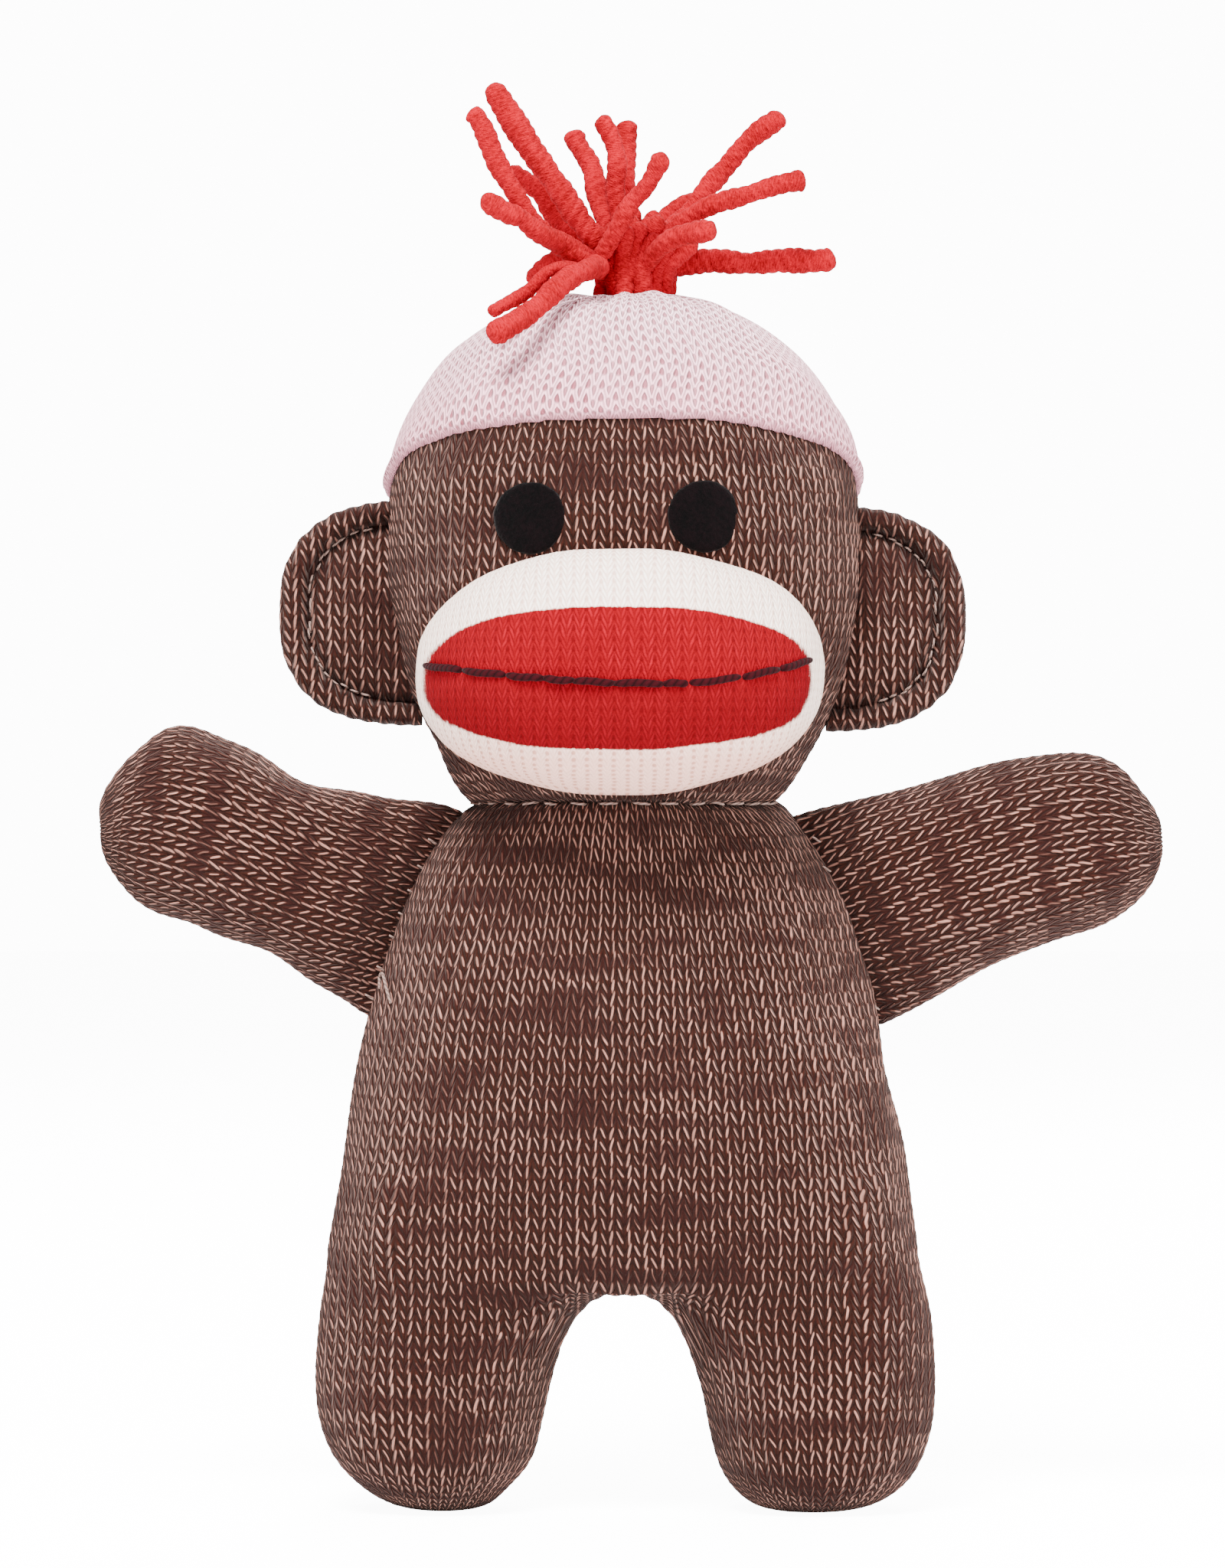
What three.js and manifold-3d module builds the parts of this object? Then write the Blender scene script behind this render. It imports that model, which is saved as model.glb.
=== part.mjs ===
// A knitted stuffed monkey: a sock body with stuffed limbs, two-layer ears, a knit cap and a yarn pom-pom.
// Millimetres, +Z up. The monkey looks along -Y and its own left is on +X.
// The origin is the middle of the bounding box's underside, on the plane of the two soles.
import * as THREE from "three";
import { mergeVertices } from "three/addons/utils/BufferGeometryUtils.js";
import Module from "manifold-3d";

const wasm = await Module();
wasm.setup();

const X = new THREE.Vector3(1, 0, 0);
const Y = new THREE.Vector3(0, 1, 0);
const Z = new THREE.Vector3(0, 0, 1);

// Driving dimensions
const FABRIC = 1.2; // thickness of the knitted skins
const GAP = 0.3; // clearance between neighbouring pieces
const BIG = 200; // reaches past the whole toy, for cutting tools
const MIDLINE_X = -1; // the toy's midline, measured from the middle of its bounding box
const MIDLINE_Y = 5.4;

const NECK_AXIS_Z = 101; // the head nods about this height
const NECK_TOP = 100; // crest of the torso under the neck seam
const NECK_BOTTOM = 102.2; // lowest line of the head
const NECK_CREST = 2; // half depth of the flat crest on both sides of the seam
const NECK_SLOPE = THREE.MathUtils.degToRad(25); // both sides fall away from the seam, so the head can nod
const NECK_SLOT = [24, 2, 6]; // opening in the head skin at the seam

const HIP_AXIS_Z = 36; // the legs swing about this height
const HIP_RADIUS = 16.5; // round top of each leg
const HIP_GAP = 0.6;
const HIP_FORWARD = THREE.MathUtils.degToRad(56); // room cut in the torso for each swing
const HIP_BACK = THREE.MathUtils.degToRad(22);
const LEG_SPLIT = 0.4; // half the gap between the legs above the crotch

const SHOULDER_LAND = 1.4; // from the flat land on the torso's side out to the shoulder's hinge line
const ARM_START = 0.9; // from the hinge line out to the arm's sewn edge
const THREAD = 0.8; // diameter of the seam thread
const NECK_SEAM = [20.6, 8]; // half width and half depth of the ring of thread round the neck
const NECK_SEAM_DROP = 1.3; // how much lower the thread runs at the front and the back than at the sides

const MUZZLE_CENTRE = [-0.5, 119.9];
const MUZZLE_HALF = [28.8, 17];
const MUZZLE_FRONT = -38;
const MUZZLE_POWER = 2.3;
const LIPS_CENTRE = [-0.9, 118.7];
const LIPS_HALF = [27, 9.8];
const MOUTH_YARN = 1.1;
const MOUTH_LOW = [5.8, 117.9]; // the mouth line's lowest point
const MOUTH_RISE = 3.2; // how much the line climbs to the two corners
const EYE_RADIUS = 5;
const EYE_THICKNESS = 1;

const EAR_ROOT_X = 30;
const EAR_CENTRE_Z = 128;
const EAR_HALF_HEIGHT = 16.1;
const EAR_REACH = 19; // from the ear's root, inside the head, to its outer rim
const EAR_POWER = 2.6;
const EAR_HEAD_GAP = 1.6; // lets the ear fold without touching the head
const EAR_FABRIC = 0.9;
const TOPSTITCH_INSET = 3.9;
const TOPSTITCH_Y = -4.6;
const TOPSTITCH = 0.6;

const HAT_GAP = 0.3;
const HAT_THICKNESS = 1.3;
const BRIM_Z = 147; // height of the brim at the ears
const BRIM_TILT = 0.33; // the brim climbs this much for each millimetre forward
const POMPOM_X = 1.4;
const POMPOM_Z = 175.7;
const STRAND = 2.5;
const STRAND_COLLAR = 3.2; // the strands stand upright this far before they fan out
const TIE_RADIUS = 6.6;
const TIE_THICKNESS = 1;

// Stations of the trunk from the hips to the neck, and of the head: height, half width, half depth
const TORSO = [
  [26, 44, 18],
  [38, 42, 20],
  [50, 40, 21.5],
  [64, 37.7, 21.5],
  [78, 34.8, 19.5],
  [90, 30.5, 16.5],
  [97, 26.8, 14.5],
  [102, 21.5, 13],
];
const HEAD = [
  [100, 20.5, 14.5],
  [105, 24.2, 18.5],
  [113, 28.4, 22.5],
  [124, 32.6, 25.5],
  [136, 33.9, 27],
  [147, 33.2, 26.5],
  [157, 29.4, 23.5],
  [165, 22.6, 18.5],
  [170.5, 14.6, 12.5],
  [173.5, 5, 4.5],
];

// Stations of the left leg, sole to hip: inner x, inner z, outer x, outer z, half depth
const LEG = [
  [19.5, 0, 34, 0, 8.5],
  [16.6, 1.6, 37, 1.4, 11.8],
  [13.8, 5.4, 41.6, 5, 14],
  [11.7, 12, 44, 11.5, 15.2],
  [10.6, 19, 44.6, 20, 15.6],
  [9.4, 24.4, 44.1, 27, 15.8],
  [6.4, 28.8, 43.3, 31, 16],
  [2.8, 31, 42.6, 34, 16.2],
  [LEG_SPLIT, 34, 41.9, 38, 16.3],
  [LEG_SPLIT, 58, 39, 58, 16.3],
];

// Stations of each arm, sewn edge to tip: upper x, upper z, lower x, lower z, half depth.
const LEFT_ARM = [
  [21.5, 98.2, 31.5, 67.6, 1.6],
  [27.6, 100.6, 37.4, 69.4, 1.9],
  [34, 102.3, 43, 72.8, 5.4],
  [46, 104.7, 53, 78.4, 9.8],
  [56.7, 107.5, 62, 81.3, 10.8],
  [66, 108.3, 69.6, 83.9, 10],
  [72.6, 105, 75, 88.4, 7.4],
  [76.4, 99.4, 77, 93.6, 2.8],
];
const RIGHT_ARM = [
  [-21, 98.8, -32, 69.2, 1.6],
  [-27, 101.2, -38.2, 71.4, 1.9],
  [-33, 102.4, -43.6, 75, 5.4],
  [-45, 105, -52.6, 80.4, 9.8],
  [-56.7, 110.4, -61, 84, 10.8],
  [-65.6, 111.6, -69.4, 87.8, 10],
  [-71.4, 107.4, -73.6, 92.2, 7.4],
  [-74.6, 101.4, -75, 95.8, 2.8],
];
const LEFT_SHOULDER = { top: [25.2, 99.6], bottom: [36.6, 69.2], out: 1 };
const RIGHT_SHOULDER = { top: [-24.6, 100.2], bottom: [-37.2, 71], out: -1 };

// Pom-pom strands: where each tip ends up, and how far its middle bows up from the straight line
const STRANDS = [
  { tip: [-18.2, -3, 203.8], bow: 1 },
  { tip: [-21.3, -11, 199.6], bow: 0 },
  { tip: [-15.8, 7, 192.8], bow: 2 },
  { tip: [-19.2, -16, 187.9], bow: 3 },
  { tip: [-12.6, 12, 180], bow: 3 },
  { tip: [-17.7, -18, 174.5], bow: 7 },
  { tip: [-10, -25, 173], bow: 9 },
  { tip: [-7.2, 9, 196.9], bow: 1 },
  { tip: [-2.6, -2, 199.2], bow: 0 },
  { tip: [0.6, 8, 198.7], bow: 0 },
  { tip: [5.6, -13, 192.8], bow: 1 },
  { tip: [21.4, 4, 199.8], bow: -1 },
  { tip: [25.5, -6, 190.3], bow: 2 },
  { tip: [11, 11, 189], bow: 1 },
  { tip: [12.4, -14, 182.8], bow: 3 },
  { tip: [30, 3, 180], bow: 4 },
];

const material = (color, roughness) => new THREE.MeshStandardMaterial({ color, roughness, metalness: 0 });
const marlKnit = material(0x6b4a3f, 0.95);
const fibrefill = material(0xf2efe8, 1);
const creamKnit = material(0xf6ebe0, 0.95);
const redKnit = material(0xc8262b, 0.95);
const blackFelt = material(0x1b1516, 1);
const capKnit = material(0xf6dfe3, 0.95);
const redYarn = material(0xe02c2c, 0.95);
const brownYarn = material(0x55242a, 0.95);
const greyThread = material(0xb9b3b0, 0.8);

const monkey = new THREE.Group();
monkey.position.set(MIDLINE_X, MIDLINE_Y, 0);

// A three.js geometry as a solid for cutting and joining.
function solid(geometry) {
  const bare = geometry.clone();
  bare.deleteAttribute("normal");
  bare.deleteAttribute("uv");
  const merged = mergeVertices(bare, 1e-4);
  return new wasm.Manifold(
    new wasm.Mesh({
      numProp: 3,
      vertProperties: merged.attributes.position.array,
      triVerts: new Uint32Array(merged.index.array),
    }),
  );
}

// Adds a solid to the toy as a named mesh.
function addPiece(name, shape, look) {
  const { vertProperties, triVerts } = shape.getMesh();
  const geometry = new THREE.BufferGeometry();
  geometry.setAttribute("position", new THREE.BufferAttribute(vertProperties, 3));
  geometry.setIndex(new THREE.BufferAttribute(triVerts, 1));
  geometry.computeVertexNormals();
  const mesh = new THREE.Mesh(geometry, look);
  mesh.name = name;
  monkey.add(mesh);
}

// A closed solid through rings of points, which turn anticlockwise about the way along. Both ends are capped flat.
function loft(rings) {
  const around = rings[0].length;
  const points = rings.flat();
  const faces = [];
  for (let i = 0; i + 1 < rings.length; i++) {
    for (let j = 0; j < around; j++) {
      const a = i * around + j;
      const b = i * around + ((j + 1) % around);
      faces.push(a, b, b + around, a, b + around, a + around);
    }
  }
  const last = (rings.length - 1) * around;
  const centre = (ring) => ring.reduce((sum, p) => sum.add(p), new THREE.Vector3()).divideScalar(around);
  const start = points.push(centre(rings[0])) - 1;
  const end = points.push(centre(rings[rings.length - 1])) - 1;
  for (let j = 0; j < around; j++) {
    const next = (j + 1) % around;
    faces.push(start, next, j, end, last + j, last + next);
  }
  const geometry = new THREE.BufferGeometry().setFromPoints(points);
  geometry.setIndex(faces);
  return geometry;
}

const rounded = (value, power) => Math.sign(value) * Math.abs(value) ** (2 / power);

// A soft body between two outlines in the XZ plane. A station is [ax, az, bx, bz, half depth].
function softBody(stations, rings, sides, power) {
  const curve = (i, j) => new THREE.SplineCurve(stations.map((s) => new THREE.Vector2(s[i], s[j])));
  const sideA = curve(0, 1);
  const sideB = curve(2, 3);
  const depth = curve(4, 4);
  const made = [];
  for (let i = 0; i < rings; i++) {
    const t = i / (rings - 1);
    const a = sideA.getPoint(t);
    const b = sideB.getPoint(t);
    const middle = a.clone().add(b).multiplyScalar(0.5);
    const half = b.clone().sub(a).multiplyScalar(0.5);
    const ring = [];
    for (let j = 0; j < sides; j++) {
      const angle = (2 * Math.PI * j) / sides;
      const across = rounded(Math.cos(angle), power);
      const deep = rounded(Math.sin(angle), power) * depth.getPoint(t).x;
      ring.push(new THREE.Vector3(middle.x + half.x * across, deep, middle.y + half.y * across));
    }
    made.push(ring);
  }
  return loft(made);
}

const upright = (stations) => stations.map(([z, halfWidth, depth]) => [-halfWidth, z, halfWidth, z, depth]);

const mirrored = (stations) => stations.map(([ax, az, bx, bz, depth]) => [-bx, bz, -ax, az, depth]);

// The same surface moved along its normals, outwards when the distance is positive.
function offset(geometry, distance) {
  const moved = geometry.clone();
  moved.computeVertexNormals();
  const { position, normal } = moved.attributes;
  const point = new THREE.Vector3();
  const out = new THREE.Vector3();
  for (let i = 0; i < position.count; i++) {
    out.fromBufferAttribute(normal, i);
    point.fromBufferAttribute(position, i).addScaledVector(out, distance);
    position.setXYZ(i, point.x, point.y, point.z);
  }
  return moved;
}

// A straight solid of the given outline, centred on a point, with the outline in the plane of two axes.
function prism(outline, across, up, length, centre) {
  const shape = new THREE.Shape(outline.map(([u, v]) => new THREE.Vector2(u, v)));
  const geometry = new THREE.ExtrudeGeometry(shape, { depth: length, bevelEnabled: false });
  geometry.translate(0, 0, -length / 2);
  geometry.applyMatrix4(new THREE.Matrix4().makeBasis(across, up, new THREE.Vector3().crossVectors(across, up)));
  geometry.translate(...centre);
  return solid(geometry);
}

const box = (size, centre) => solid(new THREE.BoxGeometry(...size).translate(...centre));

function ellipseOutline([cx, cz], [halfX, halfZ], power, count) {
  const angles = Array.from({ length: count }, (_, i) => (2 * Math.PI * i) / count);
  return angles.map((a) => [cx + halfX * rounded(Math.cos(a), power), cz + halfZ * rounded(Math.sin(a), power)]);
}

// A round thread, yarn or strand along a smooth curve through the points.
function tube(points, diameter, steps, sides = 8) {
  const section = new THREE.Shape(
    Array.from({ length: sides }, (_, i) => {
      const angle = (2 * Math.PI * i) / sides;
      return new THREE.Vector2((diameter / 2) * Math.cos(angle), (diameter / 2) * Math.sin(angle));
    }),
  );
  const path = new THREE.CatmullRomCurve3(points);
  return solid(new THREE.ExtrudeGeometry(section, { steps, bevelEnabled: false, extrudePath: path }));
}

// What lies on the head's side of the neck seam, raised by an amount: a wedge that opens upwards.
function aboveNeck(raise) {
  const rise = (BIG - NECK_CREST) * Math.tan(NECK_SLOPE);
  const low = NECK_BOTTOM + raise;
  const outline = [
    [-NECK_CREST, low],
    [NECK_CREST, low],
    [BIG, low + rise],
    [BIG, 2 * BIG],
    [-BIG, 2 * BIG],
    [-BIG, low + rise],
  ];
  return prism(outline, Y, Z, 2 * BIG, [0, 0, 0]);
}

// What lies on the torso's side of the neck seam, lowered by an amount.
function belowNeck(lower) {
  const fall = (BIG - NECK_CREST) * Math.tan(NECK_SLOPE);
  const high = NECK_TOP - lower;
  const outline = [
    [NECK_CREST, high],
    [-NECK_CREST, high],
    [-BIG, high - fall],
    [-BIG, -BIG],
    [BIG, -BIG],
    [BIG, high - fall],
  ];
  return prism(outline, Y, Z, 2 * BIG, [0, 0, 0]);
}

// The space that the legs' round tops sweep, with flat flanks where the torso stops short of a swung leg.
function hipRoom(radius) {
  const outline = [];
  const reach = BIG;
  const from = Math.PI - HIP_FORWARD;
  outline.push([
    radius * Math.cos(from) - reach * Math.sin(from),
    HIP_AXIS_Z + radius * Math.sin(from) + reach * Math.cos(from),
  ]);
  const steps = 12;
  for (let i = 0; i <= steps; i++) {
    const angle = from + ((HIP_BACK - from) * i) / steps;
    outline.push([radius * Math.cos(angle), HIP_AXIS_Z + radius * Math.sin(angle)]);
  }
  outline.push([
    radius * Math.cos(HIP_BACK) + reach * Math.sin(HIP_BACK),
    HIP_AXIS_Z + radius * Math.sin(HIP_BACK) - reach * Math.cos(HIP_BACK),
  ]);
  outline.reverse();
  return prism(outline, Y, Z, 2 * BIG, [0, 0, 0]);
}

// A leg's round top: everything below a roof of the given radius.
function underRoof(radius) {
  const outline = [
    [-BIG, -BIG],
    [BIG, -BIG],
    [BIG, HIP_AXIS_Z],
  ];
  const steps = 12;
  for (let i = 0; i <= steps; i++) {
    const angle = (Math.PI * i) / steps;
    outline.push([radius * Math.cos(angle), HIP_AXIS_Z + radius * Math.sin(angle)]);
  }
  outline.push([-BIG, HIP_AXIS_Z]);
  return prism(outline, Y, Z, 2 * BIG, [0, 0, 0]);
}

// The seam line of a shoulder: its ends, its middle, and the direction that points out of the torso.
function shoulderFrame({ top, bottom, out }) {
  const high = new THREE.Vector3(top[0], 0, top[1]);
  const low = new THREE.Vector3(bottom[0], 0, bottom[1]);
  const along = low.clone().sub(high).normalize();
  const outward = new THREE.Vector3().crossVectors(along, Y).multiplyScalar(out);
  return { high, low, along, outward, middle: high.clone().add(low).multiplyScalar(0.5) };
}

// Everything further out than a distance from the shoulder's seam line.
function beyondShoulder(shoulder, distance) {
  const { middle, outward, along } = shoulderFrame(shoulder);
  const side = new THREE.Vector3().crossVectors(along, Y);
  const centre = middle.clone().addScaledVector(outward, distance + BIG / 2);
  const outline = [
    [-BIG / 2, -BIG / 2],
    [BIG / 2, -BIG / 2],
    [BIG / 2, BIG / 2],
    [-BIG / 2, BIG / 2],
  ];
  return prism(outline, side, Y, BIG, centre.toArray());
}

function addTorso() {
  const shape = softBody(upright(TORSO), 9, 20, 2.3);
  const lands = beyondShoulder(LEFT_SHOULDER, 0).add(beyondShoulder(RIGHT_SHOULDER, 0));
  const padLands = beyondShoulder(LEFT_SHOULDER, -FABRIC).add(beyondShoulder(RIGHT_SHOULDER, -FABRIC));
  const outer = solid(shape).intersect(belowNeck(0)).subtract(lands);
  const inner = solid(offset(shape, -FABRIC)).intersect(belowNeck(FABRIC)).subtract(padLands);
  addPiece("torso_skin", outer.subtract(inner).subtract(hipRoom(HIP_RADIUS + HIP_GAP)), marlKnit);
  const padding = solid(offset(shape, -FABRIC - GAP))
    .intersect(belowNeck(FABRIC + GAP))
    .subtract(beyondShoulder(LEFT_SHOULDER, -FABRIC - GAP))
    .subtract(beyondShoulder(RIGHT_SHOULDER, -FABRIC - GAP))
    .subtract(hipRoom(HIP_RADIUS + HIP_GAP + GAP));
  addPiece("torso_stuffing", padding, fibrefill);
}

function addLeg(side, stations) {
  const shape = softBody(stations, 10, 14, 2.4);
  const skin = solid(shape)
    .subtract(solid(offset(shape, -FABRIC)))
    .intersect(underRoof(HIP_RADIUS));
  addPiece(side + "_leg_skin", skin, marlKnit);
  const padding = solid(offset(shape, -FABRIC - GAP)).intersect(underRoof(HIP_RADIUS - GAP));
  addPiece(side + "_leg_stuffing", padding, fibrefill);
}

function addArm(side, stations, shoulder) {
  const shape = softBody(stations, 8, 12, 2.2);
  const start = SHOULDER_LAND + ARM_START;
  const skin = solid(shape)
    .subtract(solid(offset(shape, -FABRIC)))
    .intersect(beyondShoulder(shoulder, start));
  addPiece(side + "_arm_skin", skin, marlKnit);
  const padding = solid(offset(shape, -FABRIC - GAP)).intersect(beyondShoulder(shoulder, start + 2));
  addPiece(side + "_arm_stuffing", padding, fibrefill);
  const { high, low, outward } = shoulderFrame(shoulder);
  const ends = [high, low].map((end) => end.clone().addScaledVector(outward, SHOULDER_LAND));
  addPiece(side + "_shoulder_stitching", tube(ends, THREAD, 4, 6), greyThread);
}

// The seam thread goes once round the neck and leaves a small gap between its ends at the back.
function addNeckStitching() {
  const [halfWidth, halfDepth] = NECK_SEAM;
  const open = 0.06; // half the angle between the ends
  const points = [];
  const count = 24;
  for (let i = 0; i <= count; i++) {
    const angle = Math.PI / 2 + open + (2 * (Math.PI - open) * i) / count;
    const z = NECK_AXIS_Z - NECK_CREST / 10 - NECK_SEAM_DROP * Math.sin(angle) ** 2;
    points.push(new THREE.Vector3(halfWidth * Math.cos(angle), halfDepth * Math.sin(angle), z));
  }
  addPiece("neck_stitching", tube(points, THREAD, 26, 5), greyThread);
}

const headShape = softBody(upright(HEAD), 11, 20, 2.3);

function addHead() {
  const inner = solid(offset(headShape, -FABRIC)).intersect(aboveNeck(FABRIC));
  const slot = box(NECK_SLOT, [0, 0, NECK_BOTTOM]);
  const skin = solid(headShape).intersect(aboveNeck(0)).subtract(inner).subtract(slot);
  addPiece("head_skin", skin, marlKnit);
  const padding = solid(offset(headShape, -FABRIC - GAP)).intersect(aboveNeck(FABRIC + GAP));
  addPiece("head_stuffing", padding, fibrefill);
}

// How far forward the muzzle's rim lies on the head: furthest at the top, least at the two corners.
const rimY = (x, z) => -(13 + (9 + (5 * z) / MUZZLE_HALF[1]) * (1 - Math.abs(x / MUZZLE_HALF[0]) ** 2.2));

// The dome's height over a point that is a given share of the way from the centre to a rim point.
function domeY(x, z, share) {
  const edge = rimY(x, z);
  return edge + (MUZZLE_FRONT - edge) * Math.sqrt(1 - share ** 2.6);
}

// The muzzle's closed shape: a rim sunk into the head and rings that close in on the front of the dome.
function muzzleShape() {
  const sunk = 8;
  const shares = [1, 0.985, 0.94, 0.82, 0.6, 0.32, 0.05];
  const rim = ellipseOutline([0, 0], MUZZLE_HALF, MUZZLE_POWER, 20);
  const ring = (share, back) =>
    rim.map(([x, z]) => {
      const y = domeY(x, z, share) + back;
      return new THREE.Vector3(MUZZLE_CENTRE[0] + x * share, y, MUZZLE_CENTRE[1] + z * share);
    });
  return loft([ring(1, sunk), ...shares.map((share) => ring(share, 0))]);
}

const muzzleOutline = muzzleShape();

function addMuzzle() {
  const face = solid(offset(headShape, GAP));
  const shell = solid(muzzleOutline)
    .subtract(solid(offset(muzzleOutline, -FABRIC)))
    .subtract(face);
  const lipRegion = (grow) =>
    prism(
      ellipseOutline(LIPS_CENTRE, [LIPS_HALF[0] + grow, LIPS_HALF[1] + grow], 2.5, 20),
      X,
      Z,
      BIG,
      [0, -BIG / 2, 0],
    );
  addPiece("muzzle_skin", shell.subtract(lipRegion(GAP)), creamKnit);
  addPiece("lips", shell.intersect(lipRegion(0)), redKnit);
  const padding = solid(offset(muzzleOutline, -FABRIC - GAP)).subtract(face);
  addPiece("muzzle_stuffing", padding, fibrefill);
}

// The mouth line is laid on the lips from corner to corner, lowest a little to the left of the middle.
function addMouthYarn() {
  const [lowX, lowZ] = MOUTH_LOW;
  const [from, to] = [-0.93, 0.91]; // shares of the muzzle's half width
  const points = [];
  const count = 14;
  for (let i = 0; i <= count; i++) {
    const u = from + ((to - from) * i) / count;
    const x = MUZZLE_CENTRE[0] + u * MUZZLE_HALF[0];
    const end = x < lowX ? from : to;
    const z = lowZ + MOUTH_RISE * ((x - lowX) / (MUZZLE_CENTRE[0] + end * MUZZLE_HALF[0] - lowX)) ** 2;
    const v = (z - MUZZLE_CENTRE[1]) / MUZZLE_HALF[1];
    const share = (Math.abs(u) ** MUZZLE_POWER + Math.abs(v) ** MUZZLE_POWER) ** (1 / MUZZLE_POWER);
    const surface = domeY((u / share) * MUZZLE_HALF[0], (v / share) * MUZZLE_HALF[1], share);
    points.push(new THREE.Vector3(x, surface - MOUTH_YARN / 2 - 1.5 * GAP, z));
  }
  addPiece("mouth_yarn", tube(points, MOUTH_YARN, 20, 6), brownYarn);
}

function addEye(name, x, z) {
  const outline = ellipseOutline([x, z], [EYE_RADIUS, EYE_RADIUS], 2, 16);
  const felt = solid(offset(headShape, GAP + EYE_THICKNESS)).subtract(solid(offset(headShape, GAP)));
  addPiece(name, felt.intersect(prism(outline, X, Z, BIG, [0, -BIG / 2, 0])), blackFelt);
}

// Half height of the ear at a distance from its root.
const earHalfHeight = (reach) => EAR_HALF_HEIGHT * (1 - (reach / EAR_REACH) ** EAR_POWER) ** (1 / EAR_POWER);

// Across the ear: the share of its reach, and its half thickness there
const EAR_SECTION = [
  [0, 2.2],
  [0.25, 2.6],
  [0.45, 3.6],
  [0.62, 4],
  [0.77, 3.8],
  [0.89, 3.2],
  [0.96, 2.2],
  [0.995, 1.4],
];
const EAR_TIP_HALF = 2.5; // half height of the flat left at the ear's outermost edge

function addEar(side, out) {
  const stations = EAR_SECTION.map(([part, halfThickness]) => {
    const x = EAR_ROOT_X + part * EAR_REACH;
    const half = Math.max(earHalfHeight(part * EAR_REACH), EAR_TIP_HALF);
    return [x, EAR_CENTRE_Z + half, x, EAR_CENTRE_Z - half, halfThickness];
  });
  const shape = softBody(out > 0 ? stations : mirrored(stations), 7, 12, 2.1);
  const away = solid(offset(headShape, EAR_HEAD_GAP));
  const skin = solid(shape)
    .subtract(solid(offset(shape, -EAR_FABRIC)))
    .subtract(away);
  addPiece(side + "_ear_skin", skin, marlKnit);
  addPiece(side + "_ear_padding", solid(offset(shape, -EAR_FABRIC - 2 * GAP)).subtract(away), fibrefill);
  const [lowest, step, count] = [-76, 11.5, 12]; // degrees round the ear, from its lower end to its upper end
  const points = [];
  for (let i = 0; i <= count; i++) {
    const angle = THREE.MathUtils.degToRad(lowest + step * i);
    const reach = (EAR_REACH - TOPSTITCH_INSET) * Math.cos(angle) ** (2 / EAR_POWER);
    const height = (EAR_HALF_HEIGHT - TOPSTITCH_INSET) * rounded(Math.sin(angle), EAR_POWER);
    points.push(new THREE.Vector3(out * (EAR_ROOT_X + reach), TOPSTITCH_Y, EAR_CENTRE_Z + height));
  }
  addPiece(side + "_ear_topstitch", tube(points, TOPSTITCH, 13, 5).subtract(away), greyThread);
}

function addHat() {
  const brimHeight = (y) => BRIM_Z - BRIM_TILT * y;
  const aboveBrim = prism(
    [
      [-BIG, brimHeight(-BIG)],
      [BIG, brimHeight(BIG)],
      [BIG, 2 * BIG],
      [-BIG, 2 * BIG],
    ],
    Y,
    Z,
    BIG,
    [0, 0, 0],
  );
  const cap = solid(offset(headShape, HAT_GAP + HAT_THICKNESS)).subtract(solid(offset(headShape, HAT_GAP)));
  addPiece("hat", cap.intersect(aboveBrim), capKnit);
}

// The strands' roots stand side by side inside the tie, in an inner ring of six and an outer ring of the rest.
function strandRoots(count) {
  const pitch = STRAND + GAP;
  const ring = (roots, radius, turn) =>
    Array.from({ length: roots }, (_, i) => {
      const angle = (2 * Math.PI * (i + turn)) / roots;
      return [radius * Math.cos(angle), radius * Math.sin(angle)];
    });
  return [...ring(6, pitch, 0), ...ring(count - 6, 1.93 * pitch, 0.5)];
}

// Gives each strand the free root that lies nearest under its tip, the most slanted strand first.
function assignRoots() {
  const free = strandRoots(STRANDS.length);
  const order = STRANDS.map((strand, i) => i).sort((i, j) => lean(j) - lean(i));
  const chosen = [];
  const collar = 6; // the roots are matched at this height above the tie
  for (const i of order) {
    const [tipX, tipY, tipZ] = STRANDS[i].tip;
    const aim = collar / Math.max(tipZ - POMPOM_Z, collar);
    const cost = ([x, y]) => Math.hypot(x - (tipX - POMPOM_X) * aim, y - tipY * aim);
    free.sort((a, b) => cost(a) - cost(b));
    chosen[i] = free.shift();
  }
  return chosen;
}

// How far a strand leans over: the ratio of its sideways reach to its rise.
function lean(i) {
  const [x, y, z] = STRANDS[i].tip;
  return Math.hypot(x - POMPOM_X, y) / Math.max(z - POMPOM_Z, 1);
}

function addPompom() {
  const roots = assignRoots();
  let taken = null;
  STRANDS.forEach(({ tip, bow }, i) => {
    const [rootX, rootY] = roots[i];
    const root = new THREE.Vector3(POMPOM_X + rootX, rootY, POMPOM_Z);
    const rise = root.clone().add(new THREE.Vector3(0.12 * rootX, 0.12 * rootY, STRAND_COLLAR));
    const end = new THREE.Vector3(...tip);
    const middle = rise.clone().lerp(end, 0.45).addScaledVector(Z, bow);
    const points = [root, rise, middle, end];
    const strand = tube(points, STRAND, 6, 6);
    const name = "pompom_strand_" + String(i + 1).padStart(2, "0");
    addPiece(name, taken ? strand.subtract(taken) : strand, redYarn);
    const clearance = tube(points, STRAND + 2 * GAP, 6, 6);
    taken = taken ? taken.add(clearance) : clearance;
  });
  const tie = new THREE.TorusGeometry(TIE_RADIUS + TIE_THICKNESS, TIE_THICKNESS / 2, 5, 16);
  addPiece("pompom_tie", solid(tie.translate(POMPOM_X, 0, POMPOM_Z + 0.6)), redYarn);
}

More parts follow.
